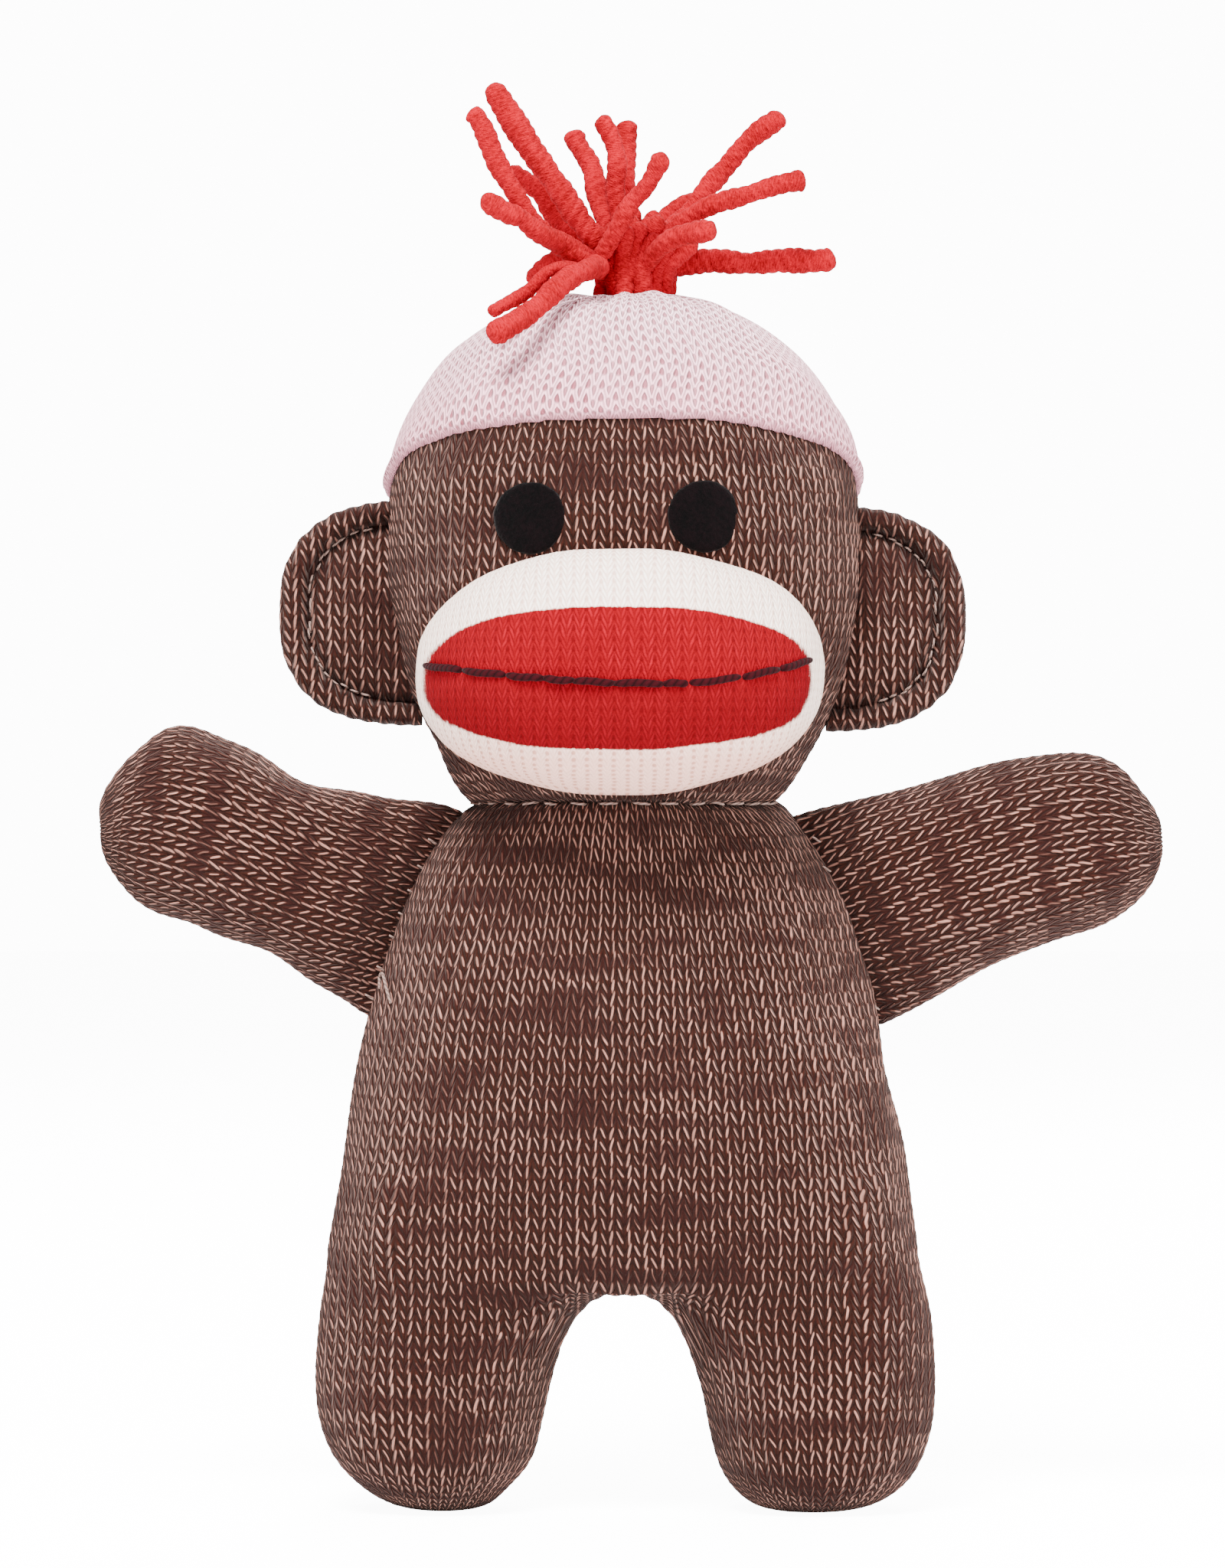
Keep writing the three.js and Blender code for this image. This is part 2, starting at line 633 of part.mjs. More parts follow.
addTorso();
addNeckStitching();
addLeg("left", LEG);
addLeg("right", mirrored(LEG));
addArm("left", LEFT_ARM, LEFT_SHOULDER);
addArm("right", RIGHT_ARM.map(([ax, az, bx, bz, depth]) => [bx, bz, ax, az, depth]), RIGHT_SHOULDER);
addHead();
addMuzzle();
addMouthYarn();
addEye("left_eye", 11.1, 141.4);
addEye("right_eye", -13.2, 141.2);
addEar("left", 1);
addEar("right", -1);
addHat();
addPompom();

export default monkey;
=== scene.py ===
"""A knitted sock monkey with a yarn pom-pom: its soft pieces and their materials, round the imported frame.

Shapes are worked out in millimetres from the monkey's own midline and sole.
+X is its own left and -Y is its front.
"""
import math

import bmesh
import bpy
import numpy as np
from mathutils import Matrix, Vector


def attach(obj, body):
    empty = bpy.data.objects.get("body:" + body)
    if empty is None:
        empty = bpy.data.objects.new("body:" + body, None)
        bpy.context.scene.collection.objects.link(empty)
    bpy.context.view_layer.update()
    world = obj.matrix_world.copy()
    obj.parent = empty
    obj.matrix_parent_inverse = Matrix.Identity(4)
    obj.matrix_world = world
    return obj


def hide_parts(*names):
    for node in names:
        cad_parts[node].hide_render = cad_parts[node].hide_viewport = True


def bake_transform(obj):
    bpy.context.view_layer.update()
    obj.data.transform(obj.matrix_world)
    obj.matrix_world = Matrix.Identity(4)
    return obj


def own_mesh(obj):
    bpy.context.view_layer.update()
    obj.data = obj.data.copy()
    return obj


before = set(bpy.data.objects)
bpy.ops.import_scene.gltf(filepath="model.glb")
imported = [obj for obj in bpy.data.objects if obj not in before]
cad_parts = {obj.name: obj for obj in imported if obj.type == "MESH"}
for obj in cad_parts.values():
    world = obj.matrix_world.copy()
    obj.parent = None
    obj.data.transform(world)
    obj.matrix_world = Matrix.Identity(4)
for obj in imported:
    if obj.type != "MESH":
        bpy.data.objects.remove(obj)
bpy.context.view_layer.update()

MM = 0.001
MIDLINE = np.array([-1.0, 5.4, 0.0])  # the monkey's midline in the row frame

# Knit gauges: width of a stitch column and height of a stitch row
WALE = 2.38
COURSE = 1.85
BODY_WALES = 86
HEAD_WALES = 82
ARM_WALES = 33
LEG_WALES = 45
HAT_WALES = 98
HAT_COURSE = 1.9
MUZZLE_WALE = 1.87
MUZZLE_COURSE = 1.4
SLANT = 2.9  # rows that a stitch leg drops from its column's middle to one column further out

RELIEF = 0.13  # height of a stitch column over the valleys beside it

# Trunk and head: height, half width, half depth
TORSO = [
    (32, 38, 15), (35, 42, 18.5), (40, 42, 20), (50, 40.4, 21.5), (64, 37.7, 21.5), (78, 34.8, 19.5),
    (90, 30.6, 17), (96.6, 26.6, 15.6), (99.8, 23.4, 14.6), (101.2, 21.4, 13.6), (101.9, 18.6, 11),
    (102.2, 12, 6),
]
HEAD = [
    (101.2, 12, 6), (101.1, 18.6, 11), (101.5, 21.3, 13.6), (103.8, 23.7, 16.6), (108, 26.4, 19.8),
    (114, 29.2, 22.6), (124, 32.6, 25.5), (136, 33.9, 27), (147, 33.2, 26.5), (157, 29.4, 23.5),
    (165, 22.6, 18.5), (170.5, 14.6, 12.5), (173, 6, 5),
]
# Legs, sole to hip: inner x, inner z, outer x, outer z, half depth
LEFT_LEG = [
    (24, 0, 30, 0, 3.5), (19.5, 0.4, 34, 0.4, 9), (16.4, 2.2, 38.2, 2.2, 12.2), (13.8, 5.8, 42, 6, 14.2),
    (11.9, 12, 44.1, 12, 15.3), (10.8, 18.6, 44.7, 20, 15.8), (8.9, 24.6, 44.3, 27, 16.2),
    (6, 28.8, 43.5, 31, 16.8), (2.8, 31, 42.7, 34, 17.5), (0.4, 33, 42, 38, 18.4), (0.4, 48, 40, 48, 19),
]
RIGHT_LEG = [
    (-24, 0, -29, 0, 3.5), (-19.5, 0.6, -33, 0.8, 8.6), (-16.6, 3.2, -37.6, 3.2, 11.8),
    (-13.4, 7.2, -41.6, 7, 14), (-12, 13, -43.6, 13, 15.2),
    (-10.8, 19, -44, 20, 15.8), (-8.9, 24.8, -43.4, 27, 16.2),
    (-6, 29, -42.8, 31, 16.8), (-2.8, 31, -42.3, 34, 17.5), (-0.4, 33, -41.8, 38, 18.4),
    (-0.4, 48, -39.8, 48, 19),
]
# Arms, sewn edge to tip: upper x, upper z, lower x, lower z, half depth
LEFT_ARM = [
    (22.5, 98.6, 33.5, 69, 1.2), (25.4, 99.7, 36.6, 69.4, 1.9), (30, 101.1, 39.6, 70.8, 4.6),
    (36, 102.7, 44.4, 73.4, 7.6), (46, 104.7, 52.8, 78.2, 10.3), (56.7, 107.6, 61, 81.2, 10.9),
    (65.2, 108.4, 68.4, 83.4, 10.2), (71.4, 106.1, 73, 86.4, 8.6), (75.3, 102, 75.8, 90, 6),
    (77, 98, 77, 94.4, 2.6),
]
RIGHT_ARM = [
    (-22, 99.2, -34, 70.6, 1.2), (-24.6, 100.3, -37.4, 71.2, 1.9), (-30, 101.6, -40.4, 73, 4.6),
    (-36, 102.6, -44.8, 75.8, 7.6), (-45.4, 104.9, -52.4, 80.2, 10.3), (-56.4, 110.4, -60.6, 83.4, 10.9),
    (-64.4, 112, -67.2, 86, 10.2), (-70.2, 108.4, -71.8, 89.4, 8.6), (-73.8, 103.2, -74.2, 92.6, 6),
    (-75, 99.4, -75, 96, 2.6),
]
LEG_MIDDLE = 27.3  # the leg's own middle, from the midline
LEG_COLUMN = 11.6  # stitch columns from the body's midline to the leg's middle in front
CROTCH_DEPTH = 15  # half depth of the fabric between the legs
TRUNK_BASE = 40  # height down to which the trunk keeps its own width
BODY_POWER = 2.3  # how square the trunk's and the head's cross-sections are
LIMB_POWER = 2.2

MUZZLE_CENTRE = (-0.5, 119.9)
MUZZLE_HALF = (28.9, 17.1)
MUZZLE_FRONT = -38.0
MUZZLE_POWER = 2.3
LIPS_CENTRE = (-0.9, 118.7)
LIPS_HALF = (27.3, 9.8)
LIPS_POWER = 2.5
MOUTH_LOW = (5.2, 117.9)  # the mouth line's lowest point
MOUTH_ENDS = ((-28.1, 120.7), (26.2, 121.4))

EYES = {"left_eye": (11.1, 141.4), "right_eye": (-13.2, 141.2)}
EYE_RADIUS = 5.0

# Ears: which way is out, how far out the rim is, height of the middle, seed of its unevenness
EARS = {"left": (1, 49.0, 127.8, 31), "right": (-1, 49.5, 128.6, 32)}
EAR_ROOT = 29.0  # where the ear starts, inside the head
EAR_HALF_HEIGHT = 16.2
EAR_POWER = 2.6
EAR_SEAM = 0.79  # share of the way out to the rim at which the two layers are quilted together

BRIM_Z = 147.0  # height of the cap's edge at the sides of the head
BRIM_TILT = 0.33  # how much lower the edge runs for each millimetre further back
HAT_OFF_HEAD = 0.65  # how far the cap stands off the head at the brim
HAT_FULLNESS = 1.4  # how much further the cap stands off half way up
HAT_CLOTH = 0.7  # thickness of the cap's fabric
HAT_SLANT = 3.0  # as SLANT, in the cap's fabric
HEAD_LUMPS = 15  # size of the stuffing's unevenness
HEAD_SEED = 5

POMPOM = np.array([1.4, 0.0, 175.6])

# Pom-pom strands: half thickness, then points from the root to the tip
STRANDS = [
    (1.85, [(-1.5, -2, 178.5), (-5.6, -2.5, 184), (-8.8, -3, 188.5), (-13.1, -3, 194.8),
            (-18.5, -3, 203.2)]),
    (1.5, [(-2.5, -4, 177.5), (-9.7, -7, 181), (-14.7, -9, 186.4), (-18.6, -10, 194), (-21.2, -11, 198.7)]),
    (1.5, [(-1.5, 3, 178), (-8.4, 5, 184.6), (-12.2, 6, 189.4), (-15.6, 7, 192)]),
    (1.5, [(-2, -1, 178), (-10.8, -9, 181.8), (-15.6, -13, 184.6), (-18.8, -15, 185.8)]),
    (1.6, [(-1.5, 4, 177.6), (-9.3, 9, 180.4), (-12.4, 11, 177.6)]),
    (1.0, [(-3, -7, 177), (-9, -12, 177.2), (-13.6, -15, 174), (-17.8, -18, 170.6)]),
    (1.65, [(-3.6, -6, 178), (-6.5, -13, 176.4), (-11.5, -19, 171.9), (-17.8, -24, 167.2)]),
    (1.55, [(-0.5, 2, 179), (-3, 5, 187.2), (-5, 7, 193), (-6.9, 9, 197.9)]),
    (1.4, [(0, 0, 180), (-0.9, -1, 189), (-1.4, -1.5, 194.6), (-3, -2, 198.3)]),
    (1.5, [(0.6, 1, 180), (-0.3, 4, 187.3), (0.3, 6, 192.8), (0.3, 8, 199)]),
    (1.35, [(-3.4, -6, 179.4), (0.2, -9, 185.2), (3, -11, 188.9), (5.2, -13, 192)]),
    (1.5, [(2, 1, 179), (8.9, 2, 186), (12.4, 3, 190.3), (17, 4, 195.8), (22, 4, 200)]),
    (1.45, [(2.5, -2, 179), (8.8, -4, 184.8), (13.5, -5, 187), (19.7, -6, 188.9), (24.9, -6, 190.1)]),
    (1.5, [(2, 3, 178.6), (6.6, 7, 186.6), (10.4, 10, 188.6)]),
    (1.55, [(2.5, -4, 178.6), (7.8, -10, 181.8), (12, -13, 182.4)]),
    (1.75, [(3, 0, 177.6), (11, 2, 179.2), (17.9, 3, 179.3), (24.6, 3, 179.4), (29.2, 3, 179.8)]),
]
TIP_REACH = 1.3  # how far each tip's soft end stands out past its last point
ROOT_LOOPS = 30  # short strands in the tight mass of roots under them

# Ends of each arm's sewn edge, upper and lower, as x and z
SHOULDERS = {"left": ((27, 98), (36.5, 71)), "right": ((-26.5, 98.5), (-37, 72.5))}

# Neck stitches: half width and half depth of their ring, its height, and how deep their ends sink in
NECK_HALF = (21.9, 14.4)
NECK_Z = 101.3
NECK_SINK = 1.4
NECK_POWER = 2 / 0.87  # how square the ring is

CAMERA_DISTANCE = 900.0
VIEW_CENTRE = (-1.65, 104.06)
VIEW_HEIGHT = 225.3
SENSOR = 24.0  # millimetres
# Studio lights: place in metres, diameter, watts
LIGHTS = {
    "key": ((-0.25, -0.8, 1.25), 0.6, 82),
    "fill": ((0.8, -0.8, 0.5), 0.7, 15),
    "back": ((0.2, 0.9, 0.9), 0.7, 26),
}
LIGHTS_AIM = (0, 0, 0.11)
WORLD_LIGHT = 1.5
BACKDROP = 13.0  # brightness of the studio as the camera sees it
FLOOR_LIT = 2.3  # the part of that brightness that the lights already give the floor
FLOOR_HALF = 3000.0  # half the floor's width

rng = np.random.default_rng(7)  # places the stitches, in the order that the pieces are built in


def in_frame(point):
    """A point in millimetres from the midline, as the frame has it in metres."""
    return (np.array(point) + MIDLINE) * MM


# ---------------------------------------------------------------- camera and light

def add_camera():
    data = bpy.data.cameras.new("camera")
    data.sensor_fit = "VERTICAL"
    data.sensor_height = SENSOR
    data.lens = SENSOR * CAMERA_DISTANCE / VIEW_HEIGHT
    camera = bpy.data.objects.new("camera", data)
    x, z = VIEW_CENTRE
    camera.location = in_frame((x, -CAMERA_DISTANCE, z))
    camera.rotation_euler = (math.pi / 2, 0, 0)
    bpy.context.collection.objects.link(camera)
    bpy.context.scene.camera = camera


def add_light(name, location, size, power):
    data = bpy.data.lights.new(name, "AREA")
    data.shape = "DISK"
    data.size = size
    data.energy = power
    light = bpy.data.objects.new(name, data)
    light.location = location
    aim = Vector(LIGHTS_AIM) - Vector(location)
    light.rotation_euler = aim.to_track_quat("-Z", "Y").to_euler()
    bpy.context.collection.objects.link(light)


def add_studio():
    world = bpy.data.worlds.new("studio")
    world.use_nodes = True
    tree = world.node_tree
    background = tree.nodes["Background"]
    background.inputs["Color"].default_value = (1, 1, 1, 1)
    seen = Value(tree, tree.nodes.new("ShaderNodeLightPath").outputs["Is Camera Ray"])
    strength = seen * (BACKDROP - WORLD_LIGHT) + WORLD_LIGHT
    tree.links.new(strength.socket, background.inputs["Strength"])
    bpy.context.scene.world = world
    for name, (location, size, power) in LIGHTS.items():
        add_light(name, location, size, power)


# ---------------------------------------------------------------- shapes

def smooth(rows, at):
    """A smooth curve through the rows, at positions from 0 to 1."""
    rows = np.asarray(rows, float)
    s = np.clip(np.asarray(at, float), 0, 1) * (len(rows) - 1)
    i = np.minimum(s.astype(int), len(rows) - 2)
    t = (s - i)[..., None]
    before, here = rows[np.maximum(i - 1, 0)], rows[i]
    ahead, after = rows[i + 1], rows[np.minimum(i + 2, len(rows) - 1)]
    linear = ahead - before
    square = 2 * before - 5 * here + 4 * ahead - after
    cube = 3 * here - before - 3 * ahead + after
    return 0.5 * (2 * here + linear * t + square * t**2 + cube * t**3)


def rounded(value, power):
    return np.sign(value) * np.abs(value) ** (2 / power)


def loft(stations, rings, columns, power):
    """Rings of points between two outlines in the XZ plane.

    Column 0 is at the back and the middle one in front."""
    rows = smooth(stations, np.linspace(0, 1, rings))
    a, b, depth = rows[:, None, 0:2], rows[:, None, 2:4], rows[:, None, 4]
    angle = np.linspace(-math.pi, math.pi, columns, endpoint=False)
    across = rounded(np.sin(angle), power)[None, :, None]
    flat = (a + b) / 2 + (b - a) / 2 * across
    deep = -rounded(np.cos(angle), power)[None, :] * depth
    return np.dstack([flat[..., 0], deep, flat[..., 1]])


def upright(stations):
    """Stations for a loft from heights, half widths and half depths."""
    return [(-width, z, width, z, depth) for z, width, depth in stations]


def swapped(stations):
    """The other side's outlines change places, so that its rings run the same way round."""
    return [(bx, bz, ax, az, depth) for ax, az, bx, bz, depth in stations]


def grid_normals(grid, closed=True):
    across = np.roll(grid, -1, 1) - np.roll(grid, 1, 1) if closed else np.gradient(grid, axis=1)
    normal = np.cross(across, np.gradient(grid, axis=0))
    return normal / np.maximum(np.linalg.norm(normal, axis=2, keepdims=True), 1e-9)


def ring_lengths(grid):
    """Distance round each ring from its first column, with one column more for the way back to it."""
    steps = np.linalg.norm(np.roll(grid, -1, 1) - grid, axis=2)
    return np.concatenate([np.zeros((len(grid), 1)), np.cumsum(steps, axis=1)], axis=1)


def knit_map(grid, wales, course):
    """Stitch columns run from ring to ring, and stitch rows go round."""
    lengths = ring_lengths(grid)
    u = (lengths / lengths[:, -1:] - 0.5) * wales
    climb = np.linalg.norm(np.diff(grid, axis=0), axis=2).mean(axis=1)
    v = np.concatenate([[0], np.cumsum(climb)]) / course
    return np.dstack([u, np.broadcast_to(v[:, None], u.shape)])


def lumps(points, size, height, seed):
    """Gentle unevenness of stuffed fabric: a smooth random height at each point."""
    waves = np.random.default_rng(seed)
    total = np.zeros(points.shape[:-1])
    for _ in range(9):
        direction = waves.normal(size=3)
        direction *= 2 * math.pi / (size * waves.uniform(0.7, 1.6)) / np.linalg.norm(direction)
        total += np.sin(points @ direction + waves.uniform(0, 2 * math.pi))
    return total * height / 3


def ridges(uv):
    """Height of the stitch columns, with a slight step from row to row."""
    return RELIEF * (-np.cos(2 * math.pi * uv[..., 0]) + 0.35 * np.sin(2 * math.pi * uv[..., 1]))


def new_mesh(name, points, faces):
    """An object from points in millimetres and faces."""
    mesh = bpy.data.meshes.new(name)
    mesh.from_pydata(((points + MIDLINE) * MM).tolist(), [], faces)
    mesh.polygons.foreach_set("use_smooth", [True] * len(mesh.polygons))
    mesh.update()
    thing = bpy.data.objects.new(name, mesh)
    bpy.context.collection.objects.link(thing)
    return thing


def grid_faces(rows, columns, closed):
    spans = columns if closed else columns - 1
    i, j = np.mgrid[0 : rows - 1, 0:spans]
    around = [(i, j), (i, j + 1), (i + 1, j + 1), (i + 1, j)]
    quads = np.stack([a * columns + b % columns for a, b in around], -1).reshape(-1, 4)
    return quads, around


def closed_faces(grid, start=0):
    """Faces of a grid that closes on itself, with a face over each end, numbered from start."""
    rows, columns = grid.shape[:2]
    faces = (grid_faces(rows, columns, True)[0] + start).tolist()
    faces.append(list(range(start, start + columns))[::-1])
    faces.append(list(range(start + (rows - 1) * columns, start + rows * columns)))
    return faces


def corner_map(uv, columns, closed=True, capped=True):
    """A map's coordinates at each face corner of a grid."""
    around = grid_faces(len(uv), columns, closed)[1]
    corners = [np.stack([uv[a, b] for a, b in around], -2).reshape(-1, 2)]
    if closed and capped:
        corners += [uv[0, :columns][::-1], uv[-1, :columns]]
    return np.concatenate(corners)


def add_map(thing, layer, corners):
    thing.data.uv_layers.new(name=layer).data.foreach_set("uv", np.asarray(corners, np.float32).ravel())


def grid_object(name, grid, uv, closed=True, capped=True):
    rows, columns = grid.shape[:2]
    faces = closed_faces(grid) if closed and capped else grid_faces(rows, columns, closed)[0].tolist()
    thing = new_mesh(name, grid.reshape(-1, 3), faces)
    add_map(thing, "knit", corner_map(uv, columns, closed, capped))
    return thing


def tubes(name, paths, sides=8, section=None):
    """One object of several round threads. A path is points, and the half thickness at each of them."""
    points, faces, corners, start = [], [], [], 0
    for path, radii in paths:
        path, radii = np.asarray(path, float), np.asarray(radii, float)
        along = np.gradient(path, axis=0)
        along /= np.linalg.norm(along, axis=1, keepdims=True)
        side = np.cross(along[0], (0.3, 0.9, 0.4))
        frames = []
        for direction in along:
            side = side - direction * (side @ direction)
            side /= np.linalg.norm(side)
            frames.append((side, np.cross(direction, side)))
        length = np.concatenate([[0], np.cumsum(np.linalg.norm(np.diff(path, axis=0), axis=1))])
        angle = np.linspace(0, 2 * math.pi, sides, endpoint=False)
        one, two = np.array([f[0] for f in frames]), np.array([f[1] for f in frames])
        thick = np.broadcast_to(radii[:, None], (len(path), sides)).copy()
        if section:
            thick *= section(angle[None, :], length[:, None])
        ring = one[:, None] * np.cos(angle)[None, :, None] + two[:, None] * np.sin(angle)[None, :, None]
        points.append((path[:, None] + ring * thick[..., None]).reshape(-1, 3))
        turn = np.linspace(0, 1, sides + 1)
        uv = np.dstack(np.broadcast_arrays(turn[None, :], length[:, None]))
        corners.append(corner_map(uv, sides))
        faces += closed_faces(ring, start)
        start += len(path) * sides
    thing = new_mesh(name, np.concatenate(points), faces)
    add_map(thing, "knit", np.concatenate(corners))
    return thing


# ---------------------------------------------------------------- material nodes

class Value:
    """A number in a material, so that formulas can be written out."""

    def __init__(self, tree, socket):
        self.tree = tree
        self.socket = socket

    def math(self, operation, *others):
        node = self.tree.nodes.new("ShaderNodeMath")
        node.operation = operation
        for slot, value in zip(node.inputs, (self, *others)):
            if isinstance(value, Value):
                self.tree.links.new(value.socket, slot)
            else:
                slot.default_value = value
        return Value(self.tree, node.outputs[0])

    def __add__(self, other):
        return self.math("ADD", other)

    def __radd__(self, other):
        return self.math("ADD", other)

    def __sub__(self, other):
        return self.math("SUBTRACT", other)

    def __rsub__(self, other):
        return (self * -1.0) + other

    def __mul__(self, other):
        return self.math("MULTIPLY", other)

    def __truediv__(self, other):
        return self.math("DIVIDE", other)

    def __abs__(self):
        return self.math("ABSOLUTE")

    def __pow__(self, power):
        return self.math("POWER", power)

    def floor(self):
        return self.math("FLOOR")

    def fract(self):
        return self.math("FRACT")

    def clipped(self):
        return self.math("MINIMUM", 1.0).math("MAXIMUM", 0.0)

    def over(self, level):
        return self.math("GREATER_THAN", level)

    def step(self, low, high):
        """Rises smoothly from 0 to 1 between two levels."""
        node = self.tree.nodes.new("ShaderNodeMapRange")
        node.interpolation_type = "SMOOTHSTEP"
        self.tree.links.new(self.socket, node.inputs["Value"])
        node.inputs["From Min"].default_value = low
        node.inputs["From Max"].default_value = high
        return Value(self.tree, node.outputs["Result"])


class Finish:
    """A material of one principled shader, and the helpers that its colour and bump are built with."""

    def __init__(self, name, roughness=0.9, sheen=0.0, sheen_tint=(1, 1, 1)):
        self.material = bpy.data.materials.new(name)
        self.material.use_nodes = True
        self.tree = self.material.node_tree
        self.shader = self.tree.nodes["Principled BSDF"]
        self.shader.inputs["Roughness"].default_value = roughness
        self.shader.inputs["Specular IOR Level"].default_value = 0.06
        self.shader.inputs["Sheen Weight"].default_value = sheen
        self.shader.inputs["Sheen Roughness"].default_value = 0.45
        self.shader.inputs["Sheen Tint"].default_value = (*sheen_tint, 1)

    def coordinates(self, layer="knit"):
        uv = self.tree.nodes.new("ShaderNodeUVMap")
        uv.uv_map = layer
        return self.parts(uv.outputs["UV"])

    def parts(self, vector):
        node = self.tree.nodes.new("ShaderNodeSeparateXYZ")
        self.tree.links.new(vector, node.inputs[0])
        return [Value(self.tree, socket) for socket in node.outputs]

    def vector(self, *values):
        node = self.tree.nodes.new("ShaderNodeCombineXYZ")
        for slot, value in zip(node.inputs, values):
            if isinstance(value, Value):
                self.tree.links.new(value.socket, slot)
            else:
                slot.default_value = value
        return node.outputs[0]

    def random(self, *values):
        """A different steady number from 0 to 1 for each whole value."""
        node = self.tree.nodes.new("ShaderNodeTexWhiteNoise")
        node.noise_dimensions = "3D"
        self.tree.links.new(self.vector(*values), node.inputs["Vector"])
        return Value(self.tree, node.outputs["Value"])

    def noise(self, vector, scale, detail=2.0):
        node = self.tree.nodes.new("ShaderNodeTexNoise")
        self.tree.links.new(vector, node.inputs["Vector"])
        node.inputs["Scale"].default_value = scale
        node.inputs["Detail"].default_value = detail
        return Value(self.tree, node.outputs["Fac"])

    def object_point(self):
        node = self.tree.nodes.new("ShaderNodeTexCoord")
        return node.outputs["Object"]

    def mix(self, amount, first, second):
        node = self.tree.nodes.new("ShaderNodeMix")
        node.data_type = "RGBA"
        self.tree.links.new(amount.socket, node.inputs["Factor"])
        for slot, colour in ((node.inputs[6], first), (node.inputs[7], second)):
            if isinstance(colour, tuple):
                slot.default_value = linear(colour)
            else:
                self.tree.links.new(colour, slot)
        return node.outputs[2]

    def colour(self, socket):
        self.tree.links.new(socket, self.shader.inputs["Base Color"])

    def bump(self, height, distance, strength=1.0):
        node = self.tree.nodes.new("ShaderNodeBump")
        node.inputs["Strength"].default_value = strength
        node.inputs["Distance"].default_value = distance * MM
        self.tree.links.new(height.socket, node.inputs["Height"])
        self.tree.links.new(node.outputs[0], self.shader.inputs["Normal"])


def linear(colour):
    """A colour given as three numbers up to 255, as the shader wants it."""
    return tuple((c / 255) ** 2.2 for c in colour) + (1.0,)


class Stitches:
    """Where a point lies in knitted fabric: its stitch, and its place on that stitch's slanting leg."""

    def __init__(self, finish, u, v, slant):
        part = u.fract()
        self.u, self.v = u, v
        self.side = part.over(0.5)
        self.wale = u.floor()
        self.away = abs(part - 0.5)  # from the stitch column's middle, 0, to its edge, 0.5
        along = v + self.away * slant
        self.course = along.floor()
        self.across = along.fract() - 0.5  # across the leg, -0.5 to 0.5
        self.chance = finish.random(self.wale, self.course, self.side)
        self.chance2 = finish.random(self.course + 31.0, self.wale, self.side + 7.0)
        self.lobe = 1.0 - abs(self.away * 4.0 - 1.0) ** 2.2
        self.ridge = 1.0 - (self.across * 2.0) ** 2.0
        self.height = self.ridge * (self.lobe * 0.65 + 0.35)


def cream_dash(knit, bands, bold):
    """Where the cream strand shows on a stitch.

    On one leg it is long, nearly upright and joins the next one. On the other it is short and slanting."""
    upright_leg = 1.0 - knit.side
    tilt = 0.43 - upright_leg * 0.27 + (knit.chance - 0.5) * 0.2
    out = (knit.away - 0.25 + (knit.chance2 - 0.5) * 0.07) * WALE
    up = knit.across * COURSE - out * (SLANT * COURSE / WALE)
    along = out * tilt.math("SINE") - up * tilt.math("COSINE")
    off = out * tilt.math("COSINE") + up * tilt.math("SINE")
    reach = 0.74 + upright_leg * 0.14 + bold * 0.12 + (knit.chance2 - 0.5) * 0.2
    width = (0.078 + upright_leg * 0.037 + bold * 0.04 + knit.chance * 0.04) * (bands * 0.3 + 0.7)
    inside = 1.0 - (off / width) ** 2.0 - (along / reach) ** 4.0
    return inside.step(-0.9, 0.5) * (knit.chance2 * 0.5 + 0.5) * (bands * 0.75 + 0.25)


def marl_knit(name="marl_knit", groove_shaded=False):
    """Brown yarn plied with one cream strand. A quilted one gets painted shade along its quilting groove.
    """
    finish = Finish(name, roughness=0.95, sheen=0.06, sheen_tint=(1, 0.74, 0.66))
    u, v, _ = finish.coordinates()
    place = finish.vector(u, v, 0.0)
    u = u + (finish.noise(place, 0.55) - 0.5) * 0.3
    v = v + (finish.noise(place, 0.45, 1.0) - 0.5) * 0.5
    knit = Stitches(finish, u, v, SLANT)
    bands = finish.noise(finish.vector(u * 0.14, v * 0.5, 3.0), 1.0, 1.0).step(0.38, 0.5)
    bold = finish.noise(place, 0.09, 1.0).step(0.35, 0.65)
    shown = cream_dash(knit, bands, bold)
    fibre = finish.noise(finish.vector(u * 9.0, v * 3.0, 0.0), 1.0, 3.0)
    # painted shade: darker brown in the valleys between the stitch legs, lighter on their raised middles
    base = finish.mix(knit.height.step(0.1, 0.95), (27, 13, 10), (49, 25, 20))
    dim = finish.mix(fibre.step(0.35, 0.7), base, (41, 23, 18))
    muted = finish.mix((1.0 - bands) * 0.5, dim, (38, 20, 19))
    colour = finish.mix(shown, muted, (150, 106, 94))
    # painted shade: darker brown in the ear's quilting groove, where shade falls
    if groove_shaded:
        away, _, _ = finish.coordinates("seam")
        colour = finish.mix((1.0 - abs(away).step(0.1, 1.9)) * 0.5, colour, (20, 8, 6))
    finish.colour(colour)
    finish.bump(knit.height + shown * 0.25 + fibre * 0.2, 0.42)
    return finish.material


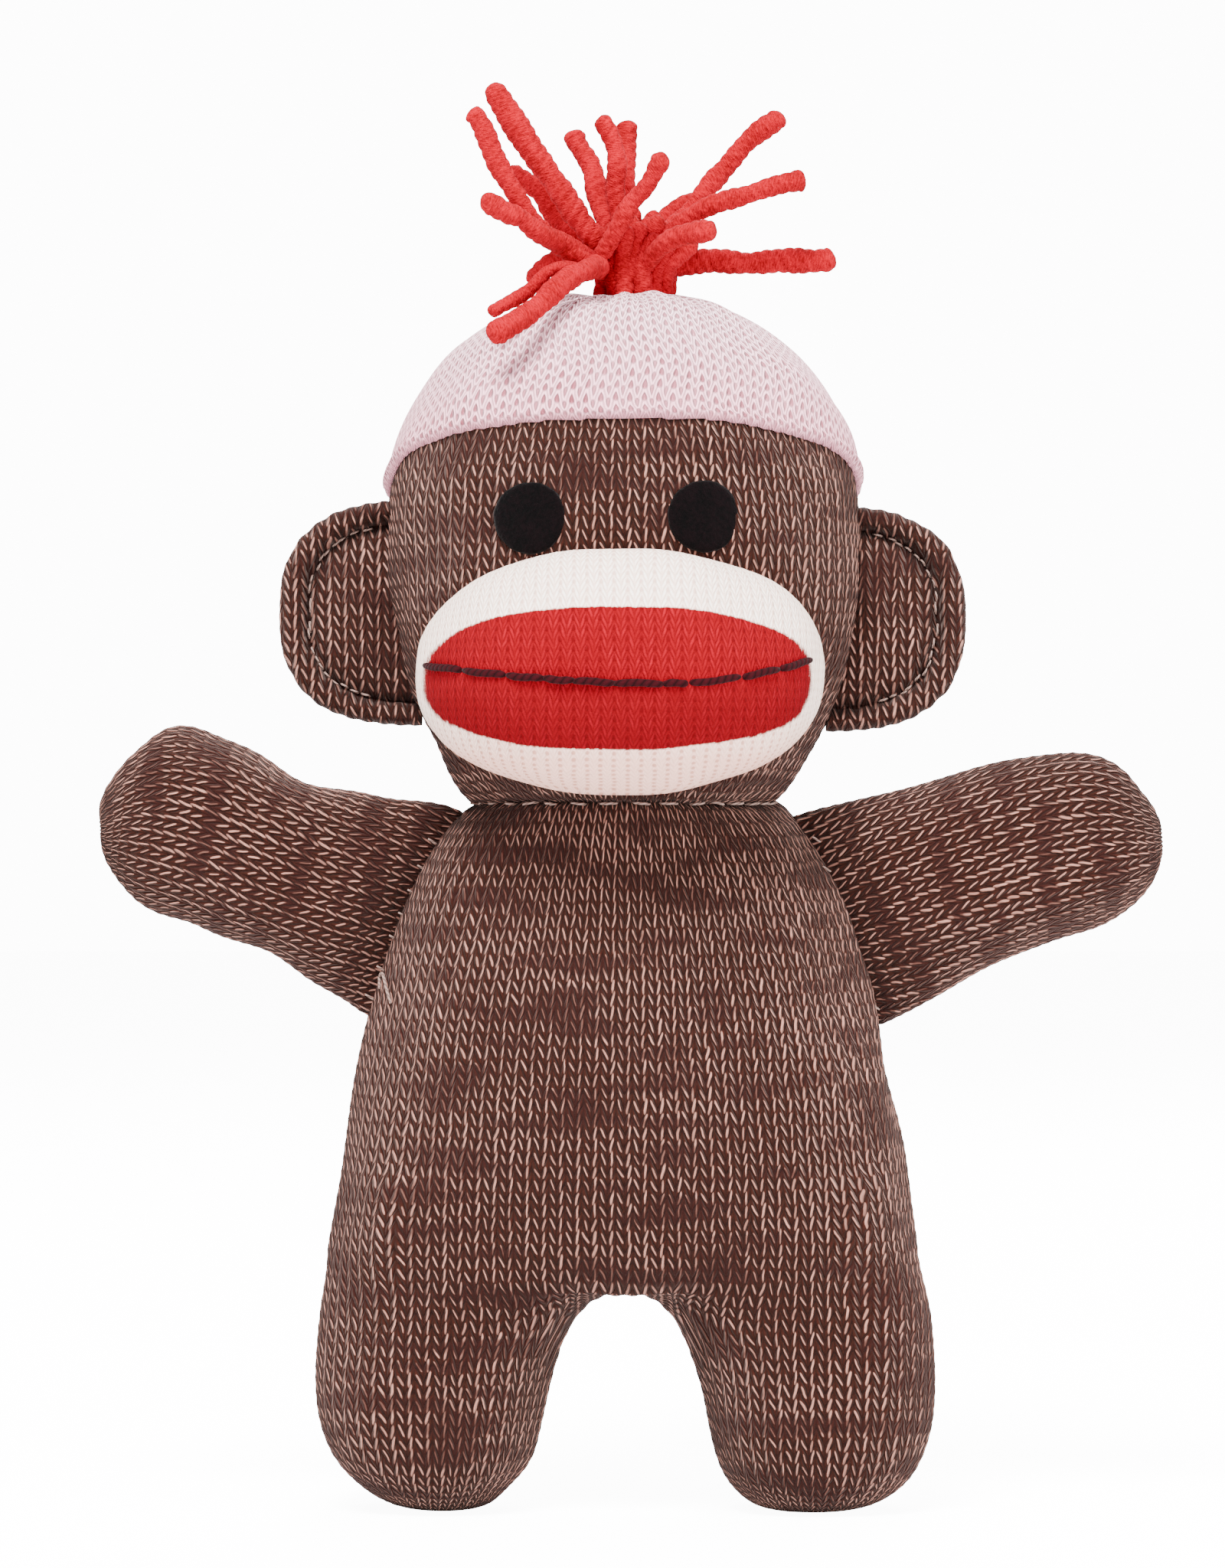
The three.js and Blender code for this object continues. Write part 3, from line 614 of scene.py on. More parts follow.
def muzzle_knit():
    """Fine brushed cream knit with a patch of red for the lips."""
    finish = Finish("muzzle_knit", roughness=0.95)
    u, v, _ = finish.coordinates()
    x, z, _ = finish.coordinates("face")
    place = finish.vector(u, v, 0.0)
    u = u + (finish.noise(place, 0.5) - 0.5) * 0.3
    v = v + (finish.noise(place, 0.6, 1.0) - 0.5) * 0.4
    knit = Stitches(finish, u, v, SLANT)
    fuzz = finish.noise(place, 5.0, 4.0)
    jitter = (finish.random(knit.wale, 3.0, knit.course) - 0.5) * 0.03 + (fuzz - 0.5) * 0.05
    inside = 1.0 - abs(x) ** LIPS_POWER - abs(z) ** LIPS_POWER + jitter
    lips = inside.step(-0.03, 0.04)
    level = (v + 0.45).fract() - 0.5
    hole = (1.0 - (knit.away / 0.24) ** 2.0 - (level / 0.38) ** 2.0).step(0.0, 0.9)
    strand = (knit.height - fuzz * 0.5).step(0.0, 0.8)
    # painted shade: the cream darkens towards the bottom of the muzzle, where it turns to face down
    low = (1.0 - (z + 1.15) / 0.75).clipped()
    # painted shade: the cream is darker between the raised strands
    cream = finish.mix(strand, (236, 204, 188), (255, 240, 228))
    cream = finish.mix(low * 0.9, cream, (226, 172, 156))
    # painted shade in the hole under each stitch, deeper towards the bottom of the muzzle
    cream = finish.mix(hole * (low * 0.5 + 0.4), cream, (186, 128, 112))
    worn = finish.noise(place, 0.3, 2.0).step(0.35, 0.65)
    # painted shade: the red is darker between the raised strands, lighter on them by a random amount per
    # stitch
    red = finish.mix(strand * (knit.chance * 0.6 + 0.4), (100, 0, 16), (134, 2, 29))
    red = finish.mix(worn * 0.5, red, (106, 0, 18))
    # painted shade: the lower lip, which faces down, is darker
    red = finish.mix((1.0 - z.step(-0.5, 0.3)) * 0.45, red, (84, 0, 14))
    # painted shade in the hole under each stitch
    red = finish.mix(hole * 0.4, red, (64, 0, 8))
    finish.colour(finish.mix(lips, cream, red))
    finish.bump(knit.height * 0.7 + fuzz * 0.6 - hole * 0.3, 0.2)
    return finish.material


def cap_knit():
    """Open pale pink knit: slanting strands, with a rosy hole under each stitch and between two columns."""
    finish = Finish("cap_knit", roughness=0.95, sheen=0.1)
    u, v, _ = finish.coordinates()
    place = finish.vector(u, v, 0.0)
    u = u + (finish.noise(place, 0.35) - 0.5) * 0.35
    v = v + (finish.noise(place, 0.4, 1.0) - 0.5) * 0.7
    knit = Stitches(finish, u, v, HAT_SLANT)
    level = (v + 0.5).fract() - 0.5
    under = 1.0 - (knit.away / (0.2 - level * 0.26)) ** 2.0 - (level / 0.42) ** 2.0
    beside = v.fract() - 0.5
    joint = 1.0 - ((0.5 - knit.away) / (0.15 + beside * 0.22)) ** 2.0 - (beside / 0.44) ** 2.0
    hole = under.step(0.0, 0.7)
    slot = joint.step(0.0, 0.8) * 0.85
    deep = finish.noise(place, 0.2, 2.0).step(0.3, 0.75) * 0.5 + knit.chance * 0.25
    deep = deep + (1.0 - v / 9.0).clipped() * 0.35
    # painted in the holes and slots: the head's colour seen through them, darkened with painted shade, more
    # in random patches and towards the brim
    inner = finish.mix(deep, (188, 118, 130), (126, 46, 58))
    strand = finish.mix(finish.noise(place, 3.0, 3.0).step(0.3, 0.7), (252, 192, 202), (255, 216, 224))
    strand = finish.mix((1.0 - v / 12.0).clipped() * 0.9, strand, (238, 164, 178))
    open_knit = finish.mix((hole + slot).clipped() * 0.9, strand, inner)
    finish.colour(finish.mix(v.step(0.3, 0.7), (214, 140, 154), open_knit))
    finish.bump(knit.height * 0.8 - (hole + slot), 0.45)
    return finish.material


def wool(name, light, dark):
    """Soft spun yarn: fine fibres that wind round it."""
    finish = Finish(name, roughness=0.95, sheen=0.04, sheen_tint=(1, 0.2, 0.2))
    turn, length, _ = finish.coordinates()
    wound = finish.vector(turn * 5.0 + length * 1.7, length * 0.7 - turn * 1.2, 0.0)
    fibre = finish.noise(wound, 3.15, 4.0)
    patch = finish.noise(finish.object_point(), 260.0, 2.0)
    fine = finish.noise(finish.object_point(), 2600.0, 3.0)
    tone = fibre * 0.5 + patch * 0.25 + fine * 0.25
    finish.colour(finish.mix(tone.step(0.36, 0.64), dark, light))
    finish.bump(fibre * 0.7 + fine * 0.6, 0.35)
    return finish.material


def felt():
    finish = Finish("black_felt", roughness=1.0, sheen=0.03)
    fine = finish.noise(finish.object_point(), 1800.0, 5.0)
    coarse = finish.noise(finish.object_point(), 400.0, 2.0)
    finish.colour(finish.mix((fine * 0.6 + coarse * 0.4).step(0.35, 0.65), (5, 2, 3), (14, 7, 9)))
    finish.bump(fine, 0.25)
    return finish.material


def sewing_thread(name, light, dark):
    finish = Finish(name, roughness=0.95, sheen=0.02)
    turn, length, _ = finish.coordinates()
    ply = (turn * 2.0 + length * 0.9).fract()
    ridge = 1.0 - abs(ply * 2.0 - 1.0) ** 2.0
    # painted shade: darker in the grooves between the plies, lighter on their ridges
    finish.colour(finish.mix(ridge, dark, light))
    finish.bump(ridge, 0.08)
    return finish.material


def floor_finish():
    """Studio paper that looks as bright as the backdrop and still takes soft shadows."""
    finish = Finish("floor", roughness=0.9)
    grain = finish.noise(finish.object_point(), 60.0, 3.0)
    finish.colour(finish.mix(grain, (247, 247, 247), (250, 250, 250)))
    seen = Value(finish.tree, finish.tree.nodes.new("ShaderNodeLightPath").outputs["Is Camera Ray"])
    finish.tree.links.new((seen * (BACKDROP - FLOOR_LIT)).socket, finish.shader.inputs["Emission Strength"])
    finish.shader.inputs["Emission Color"].default_value = (1, 1, 1, 1)
    return finish.material


# ---------------------------------------------------------------- body and legs

def look_up(table, row, column):
    """A table's value between four of its entries."""
    i, j = row.astype(int), column.astype(int)
    s, t = row - i, column - j
    low = table[i, j] * (1 - t) + table[i, j + 1] * t
    high = table[i + 1, j] * (1 - t) + table[i + 1, j + 1] * t
    return low * (1 - s) + high * s


def eased(share):
    """0 below 0, 1 above 1 and a soft curve between."""
    share = np.clip(share, 0, 1)
    return share * share * (3 - 2 * share)


def arc_share(angle, half_width, half_depth):
    """Share of the way round a squared ellipse, from 0 at the front to 1 at the back."""
    turns = np.linspace(0, math.pi, 181)
    aspects = np.linspace(0.25, 1.4, 40)
    x = rounded(np.sin(turns), BODY_POWER)
    y = rounded(np.cos(turns), BODY_POWER)
    table = []
    for aspect in aspects:
        steps = np.hypot(np.diff(x), np.diff(y * aspect))
        total = np.concatenate([[0], np.cumsum(steps)])
        table.append(total / total[-1])
    aspect_step = aspects[1] - aspects[0]
    row = np.clip((half_depth / half_width - aspects[0]) / aspect_step, 0, len(aspects) - 1.001)
    column = np.clip(angle / math.pi * 180, 0, 179.999)
    return look_up(np.array(table), row, column)


def turn_from_front(x, y, half_width, half_depth):
    across = (np.abs(x) / half_width) ** (BODY_POWER / 2)
    deep = (np.abs(y) / half_depth) ** (BODY_POWER / 2)
    return np.arctan2(across, -np.sign(y) * deep)


def trunk_columns(x, y, z, in_front):
    """Stitch columns from the middle of the front, round the trunk.

    Low on the trunk they are evenly spaced as seen from the front, over the tops of the legs."""
    rows = np.array(TORSO, float)
    level = np.maximum(z, TRUNK_BASE)
    half_width = np.interp(level, rows[:, 0], rows[:, 1])
    half_depth = np.interp(level, rows[:, 0], rows[:, 2])
    facing = eased((38 - np.abs(x)) / 10) * eased((66 - z) / 14)
    across = np.clip(np.abs(x) / half_width, 0, 1)
    face_y = np.where(in_front, -1, 1) * half_depth * (1 - across**BODY_POWER) ** (1 / BODY_POWER)
    trunk_y = y + (face_y - y) * facing
    turn = turn_from_front(x, trunk_y, half_width, half_depth)
    return arc_share(turn, half_width, half_depth) * BODY_WALES / 2


def leg_columns(off, y, z, in_front):
    """The same columns continued round a leg, at a distance from its middle, with a seam inside the leg."""
    stations = np.array(LEFT_LEG, float)
    outer_half = np.interp(z, stations[:, 3], stations[:, 2]) - LEG_MIDDLE
    inner_half = LEG_MIDDLE - np.interp(z, stations[:, 1], stations[:, 0])
    half = np.where(off > 0, outer_half, inner_half)
    depth = np.interp(z, (stations[:, 1] + stations[:, 3]) / 2, stations[:, 4])
    share = arc_share(turn_from_front(off, y, half, depth), half, depth)
    back = BODY_WALES / 2 - LEG_COLUMN  # the leg's middle column behind
    outer = LEG_COLUMN + share * (back - LEG_COLUMN)
    inner_front = LEG_COLUMN - share * LEG_WALES / 2
    inner_back = back + (1 - share) * LEG_WALES / 2
    return np.where(off > 0, outer, np.where(in_front, inner_front, inner_back))


def body_knit_map(points, side, in_front):
    """The body fabric's map: stitch columns run down the trunk and on down each leg.

    side is the side of the body, and in_front is whether the face is on the front half.
    Both are asked for because a point on a seam belongs to faces on either side."""
    x, y, z = points.T
    way = np.where(side > 0, 1, -1)
    off = x * way - LEG_MIDDLE
    trunk = trunk_columns(x, y, z, in_front)
    lower = leg_columns(off, y, z, in_front)
    t = np.maximum(eased((z - 24) / 10), eased((12 - np.abs(x)) / 6) * eased((z - 18) / 6))
    sole = np.clip(1 - np.maximum(np.abs(off) / 16, np.abs(y) / 15), 0, 1) * np.clip(1 - z / 6, 0, 1)
    between = eased((24 - np.abs(x)) / 8) * eased((40 - z) / 6)
    under = np.clip(CROTCH_DEPTH - np.abs(y), 0, None) * between * t
    return np.stack([(trunk * t + lower * (1 - t)) * way, (z - sole * 15 - under) / COURSE], axis=1)


def mesh_points(mesh):
    points = np.empty(len(mesh.vertices) * 3, np.float32)
    mesh.vertices.foreach_get("co", points)
    return points.reshape(-1, 3).astype(float) / MM - MIDLINE


def mesh_normals(mesh):
    normals = np.empty(len(mesh.vertices) * 3, np.float32)
    mesh.vertex_normals.foreach_get("vector", normals)
    return normals.reshape(-1, 3).astype(float)


def set_points(mesh, points):
    mesh.vertices.foreach_set("co", ((points + MIDLINE) * MM).astype(np.float32).ravel())
    mesh.update()


def fused_body():
    """Trunk and legs grown into one skin, evened out, with room for the stitches."""
    grids = [loft(upright(TORSO), 60, 72, BODY_POWER), loft(LEFT_LEG, 40, 56, BODY_POWER)]
    grids.append(loft(swapped(RIGHT_LEG), 40, 56, BODY_POWER))
    points, faces, start = [], [], 0
    for grid in grids:
        points.append(grid.reshape(-1, 3))
        faces += closed_faces(grid, start)
        start += grid.shape[0] * grid.shape[1]
    form = new_mesh("body_form", np.concatenate(points), faces)
    remesh = form.modifiers.new("even", "REMESH")
    remesh.mode = "VOXEL"
    remesh.voxel_size = 1.0 * MM
    relax = form.modifiers.new("relax", "SMOOTH")
    relax.factor = 0.5
    relax.iterations = 7
    finer = form.modifiers.new("finer", "SUBSURF")
    finer.levels = finer.render_levels = 1
    mesh = bpy.data.meshes.new_from_object(form.evaluated_get(bpy.context.evaluated_depsgraph_get()))
    bpy.data.objects.remove(form)
    return mesh


def map_body(mesh, points):
    """Gives the body's mesh its knit map. A face's middle says which side of a seam it is on."""
    loops = np.empty(len(mesh.loops), np.int32)
    mesh.loops.foreach_get("vertex_index", loops)
    counts = np.array([p.loop_total for p in mesh.polygons])
    centres = np.array([p.center for p in mesh.polygons]) / MM - MIDLINE
    centres = np.repeat(centres, counts, axis=0)
    uv = body_knit_map(points[loops], np.where(centres[:, 0] >= 0, 1.0, -1.0), centres[:, 1] < 0)
    mesh.uv_layers.new(name="knit").data.foreach_set("uv", uv.astype(np.float32).ravel())


def half_of(mesh, name, direction):
    """An object of the half of a mesh that lies on one side of the midline."""
    half = mesh.copy()
    cut = bmesh.new()
    cut.from_mesh(half)
    bmesh.ops.bisect_plane(
        cut, geom=cut.verts[:] + cut.edges[:] + cut.faces[:], plane_co=MIDLINE * MM,
        plane_no=(direction, 0, 0), clear_inner=True, dist=1e-6,
    )
    cut.to_mesh(half)
    cut.free()
    half.polygons.foreach_set("use_smooth", [True] * len(half.polygons))
    piece = bpy.data.objects.new(name, half)
    bpy.context.collection.objects.link(piece)
    return piece


def add_body(look):
    mesh = fused_body()
    points = mesh_points(mesh)
    normals = mesh_normals(mesh)
    side = np.where(points[:, 0] >= 0, 1.0, -1.0)
    even = body_knit_map(points, side, points[:, 1] < 0)
    calm = np.clip(points[:, 2] / 4, 0, 1)[:, None]
    rise = (ridges(even) * 0.8 + lumps(points, 17, 0.35, 3))[:, None] * calm
    points = points + normals * rise
    points[:, 2] = np.maximum(points[:, 2] - points[:, 2].min(), 0.0)
    set_points(mesh, points)
    map_body(mesh, points)
    mesh.materials.clear()
    mesh.materials.append(look)
    for name, direction in (("left", 1), ("right", -1)):
        piece = half_of(mesh, name + "_body_half", direction)
        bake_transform(piece)
        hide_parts(name + "_leg_skin", name + "_leg_stuffing")
        if direction > 0:
            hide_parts("torso_skin", "torso_stuffing")
    bpy.data.meshes.remove(mesh)


# ---------------------------------------------------------------- head, arms and ears

def knitted(name, grid, wales, look, seed, height=0.35):
    """A closed stuffed piece with its stitch columns along it."""
    uv = knit_map(grid, wales, COURSE)
    normals = grid_normals(grid)
    rise = ridges(uv[:, :-1]) + lumps(grid, HEAD_LUMPS, height, seed)
    fade = np.clip(np.minimum(np.arange(len(grid)), np.arange(len(grid))[::-1]) / 6, 0, 1)[:, None]
    piece = grid_object(name, grid + normals * (rise * fade)[..., None], uv)
    piece.data.materials.append(look)
    return piece


def add_head(look):
    grid = loft(upright(HEAD), 190, 300, BODY_POWER)
    piece = knitted("head", grid, HEAD_WALES, look, HEAD_SEED)
    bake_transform(piece)
    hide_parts("head_skin", "head_stuffing")


def add_arm(side, stations, look, seed):
    piece = knitted(side + "_arm", loft(stations, 150, 160, LIMB_POWER), ARM_WALES, look, seed)
    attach(piece, side + "_arm")
    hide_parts(side + "_arm_skin", side + "_arm_stuffing")


def ear_thickness(share):
    """Half thickness of the ear: a rolled rim, the quilted groove inside it, and a padded middle."""
    rim = 2.9 * np.sqrt(np.maximum(1 - np.abs((share - 0.9) / 0.1) ** 2.2, 0))
    pad = 0.35 + 3.5 * np.clip(1 - (share / EAR_SEAM) ** 3, 0, 1) ** 0.75
    return np.where(share > EAR_SEAM, np.maximum(rim, 0.35 * (share < 0.9)), pad)


def ear_point(side, share, angle):
    """A point on an ear, at a share of the way out to its rim."""
    out, reach, centre, _ = EARS[side]
    x = EAR_ROOT + share * (reach - EAR_ROOT) * np.abs(np.cos(angle)) ** (2 / EAR_POWER)
    z = centre + share * EAR_HALF_HEIGHT * rounded(np.sin(angle), EAR_POWER)
    return out * x, z


def ear_grid(side):
    """The ear's surface, from the middle of the front layer, over the rim, to the middle of the back layer.

    Its knit map and the distance from the quilting come with it."""
    out, _, _, seed = EARS[side]
    angle = np.linspace(-math.pi / 2, math.pi / 2, 150)
    spans = ((0.03, 0.7, 34), (0.715, 0.985, 26), (0.99, 1, 5))
    half = np.concatenate([np.linspace(*span) for span in spans])
    share = np.concatenate([half, half[-2::-1]])
    front = np.concatenate([np.full(len(half), -1.0), np.full(len(half) - 1, 1.0)])
    x, z = ear_point(side, share[:, None], angle[None, :])
    y = np.broadcast_to((front * ear_thickness(share))[:, None], x.shape)
    grid = np.dstack([x, y, z])
    uv = np.dstack([x / WALE + 5.0 * front[:, None], z / COURSE])
    bumps = lumps(grid, 8, 0.3, seed) * np.clip(1.2 - share, 0.15, 1)[:, None] + ridges(uv) * 0.7
    grid = grid + grid_normals(grid, closed=False) * (bumps * -out)[..., None]
    grid[:, :, 1] -= 0.5
    seam = np.dstack(np.broadcast_arrays(((share - EAR_SEAM) * EAR_HALF_HEIGHT)[:, None], z))
    if out > 0:
        return grid[:, ::-1], uv[:, ::-1], seam[:, ::-1]
    return grid, uv, seam


def close_holes(mesh):
    shell = bmesh.new()
    shell.from_mesh(mesh)
    bmesh.ops.holes_fill(shell, edges=[e for e in shell.edges if e.is_boundary])
    bmesh.ops.recalc_face_normals(shell, faces=shell.faces)
    shell.to_mesh(mesh)
    shell.free()


def add_ear(side, look):
    grid, uv, seam = ear_grid(side)
    piece = grid_object(side + "_ear", grid, uv, closed=False)
    add_map(piece, "seam", corner_map(seam, grid.shape[1], closed=False))
    close_holes(piece.data)
    piece.data.materials.append(look)
    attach(piece, side + "_ear")
    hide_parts(side + "_ear_skin", side + "_ear_padding")


# ---------------------------------------------------------------- face

def rim_y(x, z):
    """How far forward the muzzle's rim lies on the head, at a rim point from the muzzle's centre."""
    bulge = np.clip(1 - np.abs(x / MUZZLE_HALF[0]) ** 2.2, 0, 1)
    return -(13 + (9 + 5 * z / MUZZLE_HALF[1]) * bulge)


def muzzle_y(x, z):
    """The muzzle's surface over a point measured from its centre."""
    share = np.abs(x / MUZZLE_HALF[0]) ** MUZZLE_POWER + np.abs(z / MUZZLE_HALF[1]) ** MUZZLE_POWER
    share = np.maximum(share ** (1 / MUZZLE_POWER), 1e-3)
    edge = rim_y(x / share, z / share)
    return edge + (MUZZLE_FRONT - edge) * np.sqrt(np.clip(1 - share**2.6, 0, 1))


def muzzle_lengths(x, z):
    """Distance over the dome from its middle, across and up, so that the stitches keep their size."""
    across = np.linspace(-MUZZLE_HALF[0], MUZZLE_HALF[0], 241)
    up = np.linspace(-MUZZLE_HALF[1], MUZZLE_HALF[1], 161)
    gx, gz = np.meshgrid(across, up)
    y = muzzle_y(gx, gz)
    step_x, step_z = across[1] - across[0], up[1] - up[0]
    slope_x = np.clip(np.abs(np.gradient(y, step_x, axis=1)), 0, 3)
    slope_z = np.clip(np.abs(np.gradient(y, step_z, axis=0)), 0, 3)
    arc_x = np.cumsum(np.hypot(1, slope_x), axis=1) * step_x
    arc_z = np.cumsum(np.hypot(1, slope_z), axis=0) * step_z
    arc_x -= arc_x[:, [len(across) // 2]]
    arc_z -= arc_z[[len(up) // 2], :]
    column = np.clip((x - across[0]) / step_x, 0, len(across) - 1.001)
    row = np.clip((z - up[0]) / step_z, 0, len(up) - 1.001)
    return look_up(arc_x, row, column), look_up(arc_z, row, column)


def add_muzzle(look):
    angle = np.linspace(-math.pi, math.pi, 220, endpoint=False)
    rim_x = MUZZLE_HALF[0] * rounded(np.cos(angle), MUZZLE_POWER)
    rim_z = MUZZLE_HALF[1] * rounded(np.sin(angle), MUZZLE_POWER)
    edge = 1 - (1 - np.linspace(0, 1, 60)) ** 2
    shares = np.concatenate([np.full(5, 1.0), 1 - 0.98 * edge])
    sunk = np.concatenate([np.linspace(9, 1.8, 5), np.zeros(60)])
    x = shares[:, None] * rim_x[None, :]
    z = shares[:, None] * rim_z[None, :]
    y = muzzle_y(x * 0.9999, z * 0.9999) + sunk[:, None]
    points = np.dstack([x + MUZZLE_CENTRE[0], y, z + MUZZLE_CENTRE[1]])
    arc_x, arc_z = muzzle_lengths(x, z)
    uv = np.dstack([arc_x / MUZZLE_WALE, arc_z / MUZZLE_COURSE])
    uv = np.concatenate([uv, uv[:, :1]], axis=1)
    bumps = lumps(points, 14, 0.25, 11)
    points = points + grid_normals(points) * bumps[..., None] * -1
    piece = grid_object("muzzle", points[::-1], uv[::-1])
    face = np.dstack([x + MUZZLE_CENTRE[0] - LIPS_CENTRE[0], z + MUZZLE_CENTRE[1] - LIPS_CENTRE[1]])
    face = np.concatenate([face, face[:, :1]], axis=1)[::-1] / np.array(LIPS_HALF)
    add_map(piece, "face", corner_map(face, len(angle)))
    piece.data.materials.append(look)
    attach(piece, "head")
    give_way(piece)
    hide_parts("muzzle_skin", "lips", "muzzle_stuffing")


def give_way(piece):
    """Gives the piece its own copy of its mesh."""
    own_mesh(piece)


def on_muzzle(x, z, lift=0.0):
    """A point on the muzzle's surface, raised off it by an amount."""
    y = muzzle_y(np.asarray(x) - MUZZLE_CENTRE[0], np.asarray(z) - MUZZLE_CENTRE[1])
    return np.stack([np.asarray(x, float), y - lift, np.asarray(z, float)], axis=-1)


def mouth_height(x):
    low_x, low_z = MOUTH_LOW
    (left_x, left_z), (right_x, right_z) = MOUTH_ENDS
    rise = np.where(x < low_x, left_z - low_z, right_z - low_z)
    span = np.where(x < low_x, left_x - low_x, right_x - low_x)
    return low_z + rise * ((x - low_x) / span) ** 2


def add_mouth(look):
    """The mouth line: short stitches end to end, each dipping into the knit at its ends."""
    first, last = MOUTH_ENDS[0][0], MOUTH_ENDS[1][0]
    edges = np.linspace(first, last, 11) + np.concatenate([[0], rng.uniform(-1.2, 1.2, 9), [0]])
    paths = []
    for a, b in zip(edges[:-1], edges[1:]):
        t = np.linspace(0, 1, 14)
        x = a + 0.12 + (b - a - 0.24) * t
        lift = 0.2 - 0.6 * np.abs(2 * t - 1) ** 8
        points = on_muzzle(x, mouth_height(x) + 0.08 * np.sin(2 * math.pi * t + a), lift)
        paths.append((points, 0.52 * (1 - 0.3 * np.abs(2 * t - 1) ** 6)))
    piece = tubes("mouth_stitches", paths, 12, plies(2, 0.05, 3.4))
    piece.data.materials.append(look)
    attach(piece, "head")
    give_way(piece)
    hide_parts("mouth_yarn")


def plies(count, depth, pitch):
    """Cross-section of a thread twisted from several plies, turning once in each pitch."""

    def section(angle, length):
        phase = count * (angle - 2 * math.pi * length / pitch)
        return 1 - depth + depth * np.abs(np.cos(phase / 2)) * 2

    return section


def front_y(stations, x, z):
    """The front of the trunk or the head over a point."""
    rows = np.array(stations, float)
    half_width = np.interp(z, rows[:, 0], rows[:, 1])
    half_depth = np.interp(z, rows[:, 0], rows[:, 2])
    share = np.clip(np.abs(x) / half_width, 0, 1) ** BODY_POWER
    return -half_depth * (1 - share) ** (1 / BODY_POWER)


def add_eye(name, look):
    """A disc of thick felt with a cut edge, glued flat on the head."""
    centre_x, centre_z = EYES[name]
    angle = np.linspace(0, 2 * math.pi, 96, endpoint=False)
    profile = [
        (0.9, -0.9), (1.0, -0.4), (1.01, 0.25), (0.985, 0.6), (0.94, 0.82), (0.85, 0.93), (0.6, 1.0),
        (0.3, 1.04), (0.04, 1.05),
    ]
    edge = 1 + 0.012 * np.sin(3 * angle + centre_x) + 0.006 * np.sin(11 * angle)
    rings = []
    for share, lift in profile:
        x = centre_x + EYE_RADIUS * share * edge * np.cos(angle)
        z = centre_z + EYE_RADIUS * share * edge * np.sin(angle)
        rings.append(np.stack([x, front_y(HEAD[3:], x, z) - lift, z], axis=1))
    grid = np.array(rings)
    uv = np.zeros((len(profile), len(angle) + 1, 2))
    piece = grid_object(name + "_felt", grid, uv)
    piece.data.materials.append(look)
    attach(piece, "head")
    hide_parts(name)


# ---------------------------------------------------------------- hat and pom-pom

def off_head(turn, up):
    """How far the cap stands off the head, at a turn from the front and a share of the way up."""
    folds = gather_folds(turn) * np.clip((up - 0.2) / 0.7, 0, 1) ** 1.3 * np.clip((1.02 - up) * 9, 0, 1)
    roll = 0.6 * np.exp(-((up - 0.022) / 0.018) ** 2) - 0.85 * np.exp(-(up / 0.012) ** 2)
    full = HAT_FULLNESS * np.sin(math.pi * (0.06 + 0.84 * up))
    waves = 0.25 * np.sin(turn * 7 + 1.3) * np.clip(up * 3, 0, 1) * (1 - up)
    return HAT_OFF_HEAD + full + roll + folds + waves


def hat_grid():
    """The cap's surface, from its edge to a small ring under the pom-pom."""
    head = loft(upright(HEAD), 400, 240, BODY_POWER)
    normals = grid_normals(head)
    head = head + normals * lumps(head, HEAD_LUMPS, 0.35, HEAD_SEED)[..., None]
    rows, columns = 80, head.shape[1]
    up = np.concatenate([np.linspace(0, 0.06, 8), np.linspace(0.075, 1, rows - 8)])
    grid = np.empty((rows, columns, 3))
    for j, turn in enumerate(np.linspace(-math.pi, math.pi, columns, endpoint=False)):
        gap = head[:, j, 2] - (BRIM_Z - BRIM_TILT * head[:, j, 1])
        first = np.argmax(gap > 0)
        at = first + up * (len(head) - 3 - first)
        i = at.astype(int)
        t = (at - i)[:, None]
        surface = head[i, j] * (1 - t) + head[i + 1, j] * t
        grid[:, j] = surface + normals[i, j] * off_head(turn, up)[:, None]
    middle = POMPOM * (1, 1, 0) + (0, 0, grid[-1, :, 2].min())
    return np.concatenate([grid, middle + (grid[-1:] - middle) * (0.3, 0.3, 0)])


def hat_map(grid):
    """Stitch columns that narrow towards the pom-pom, and rows measured up from the edge."""
    lengths = ring_lengths(grid)
    around = lengths[:, -1:] / lengths[0, -1]
    u = (lengths / lengths[:, -1:] - 0.5) * HAT_WALES * around**0.6
    climb = np.linalg.norm(np.diff(grid, axis=0), axis=2)
    climb = np.concatenate([np.zeros((1, grid.shape[1])), np.cumsum(climb, axis=0)])
    v = np.concatenate([climb, climb[:, :1]], axis=1) / HAT_COURSE
    return np.dstack([u, v])


def add_hat(look):
    """A thin knitted cap: a rolled edge at the brim, and gathers that run out from the pom-pom."""
    grid = hat_grid()
    piece = grid_object("knit_cap", grid, hat_map(grid), capped=False)
    solidify = piece.modifiers.new("cloth", "SOLIDIFY")
    solidify.thickness = HAT_CLOTH * MM
    solidify.offset = -1
    bake_modifiers(piece)
    piece.data.materials.append(look)
    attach(piece, "head")
    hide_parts("hat")


def gather_folds(turn):
    """Height of the gathers round the cap, from the front: a few tucks between soft swells."""
    tucks = [-0.2, 0.14, 0.75, 1.6, 2.5, -1.1, -2.0, -2.8]
    depth = [1.1, 0.6, 0.8, 0.7, 0.8, 0.7, 0.8, 0.7]
    total = 0.3 * math.sin(3 * turn + 0.6)
    for place, deep in zip(tucks, depth):
        away = math.atan2(math.sin(turn - place), math.cos(turn - place))
        total -= deep * math.exp(-((away / 0.13) ** 2))
        total += 0.45 * deep * math.exp(-(((abs(away) - 0.24) / 0.11) ** 2))
    return total


def bake_modifiers(piece):
    """Replaces the mesh by what its modifiers make of it."""
    mesh = bpy.data.meshes.new_from_object(piece.evaluated_get(bpy.context.evaluated_depsgraph_get()))
    piece.modifiers.clear()
    piece.data = mesh


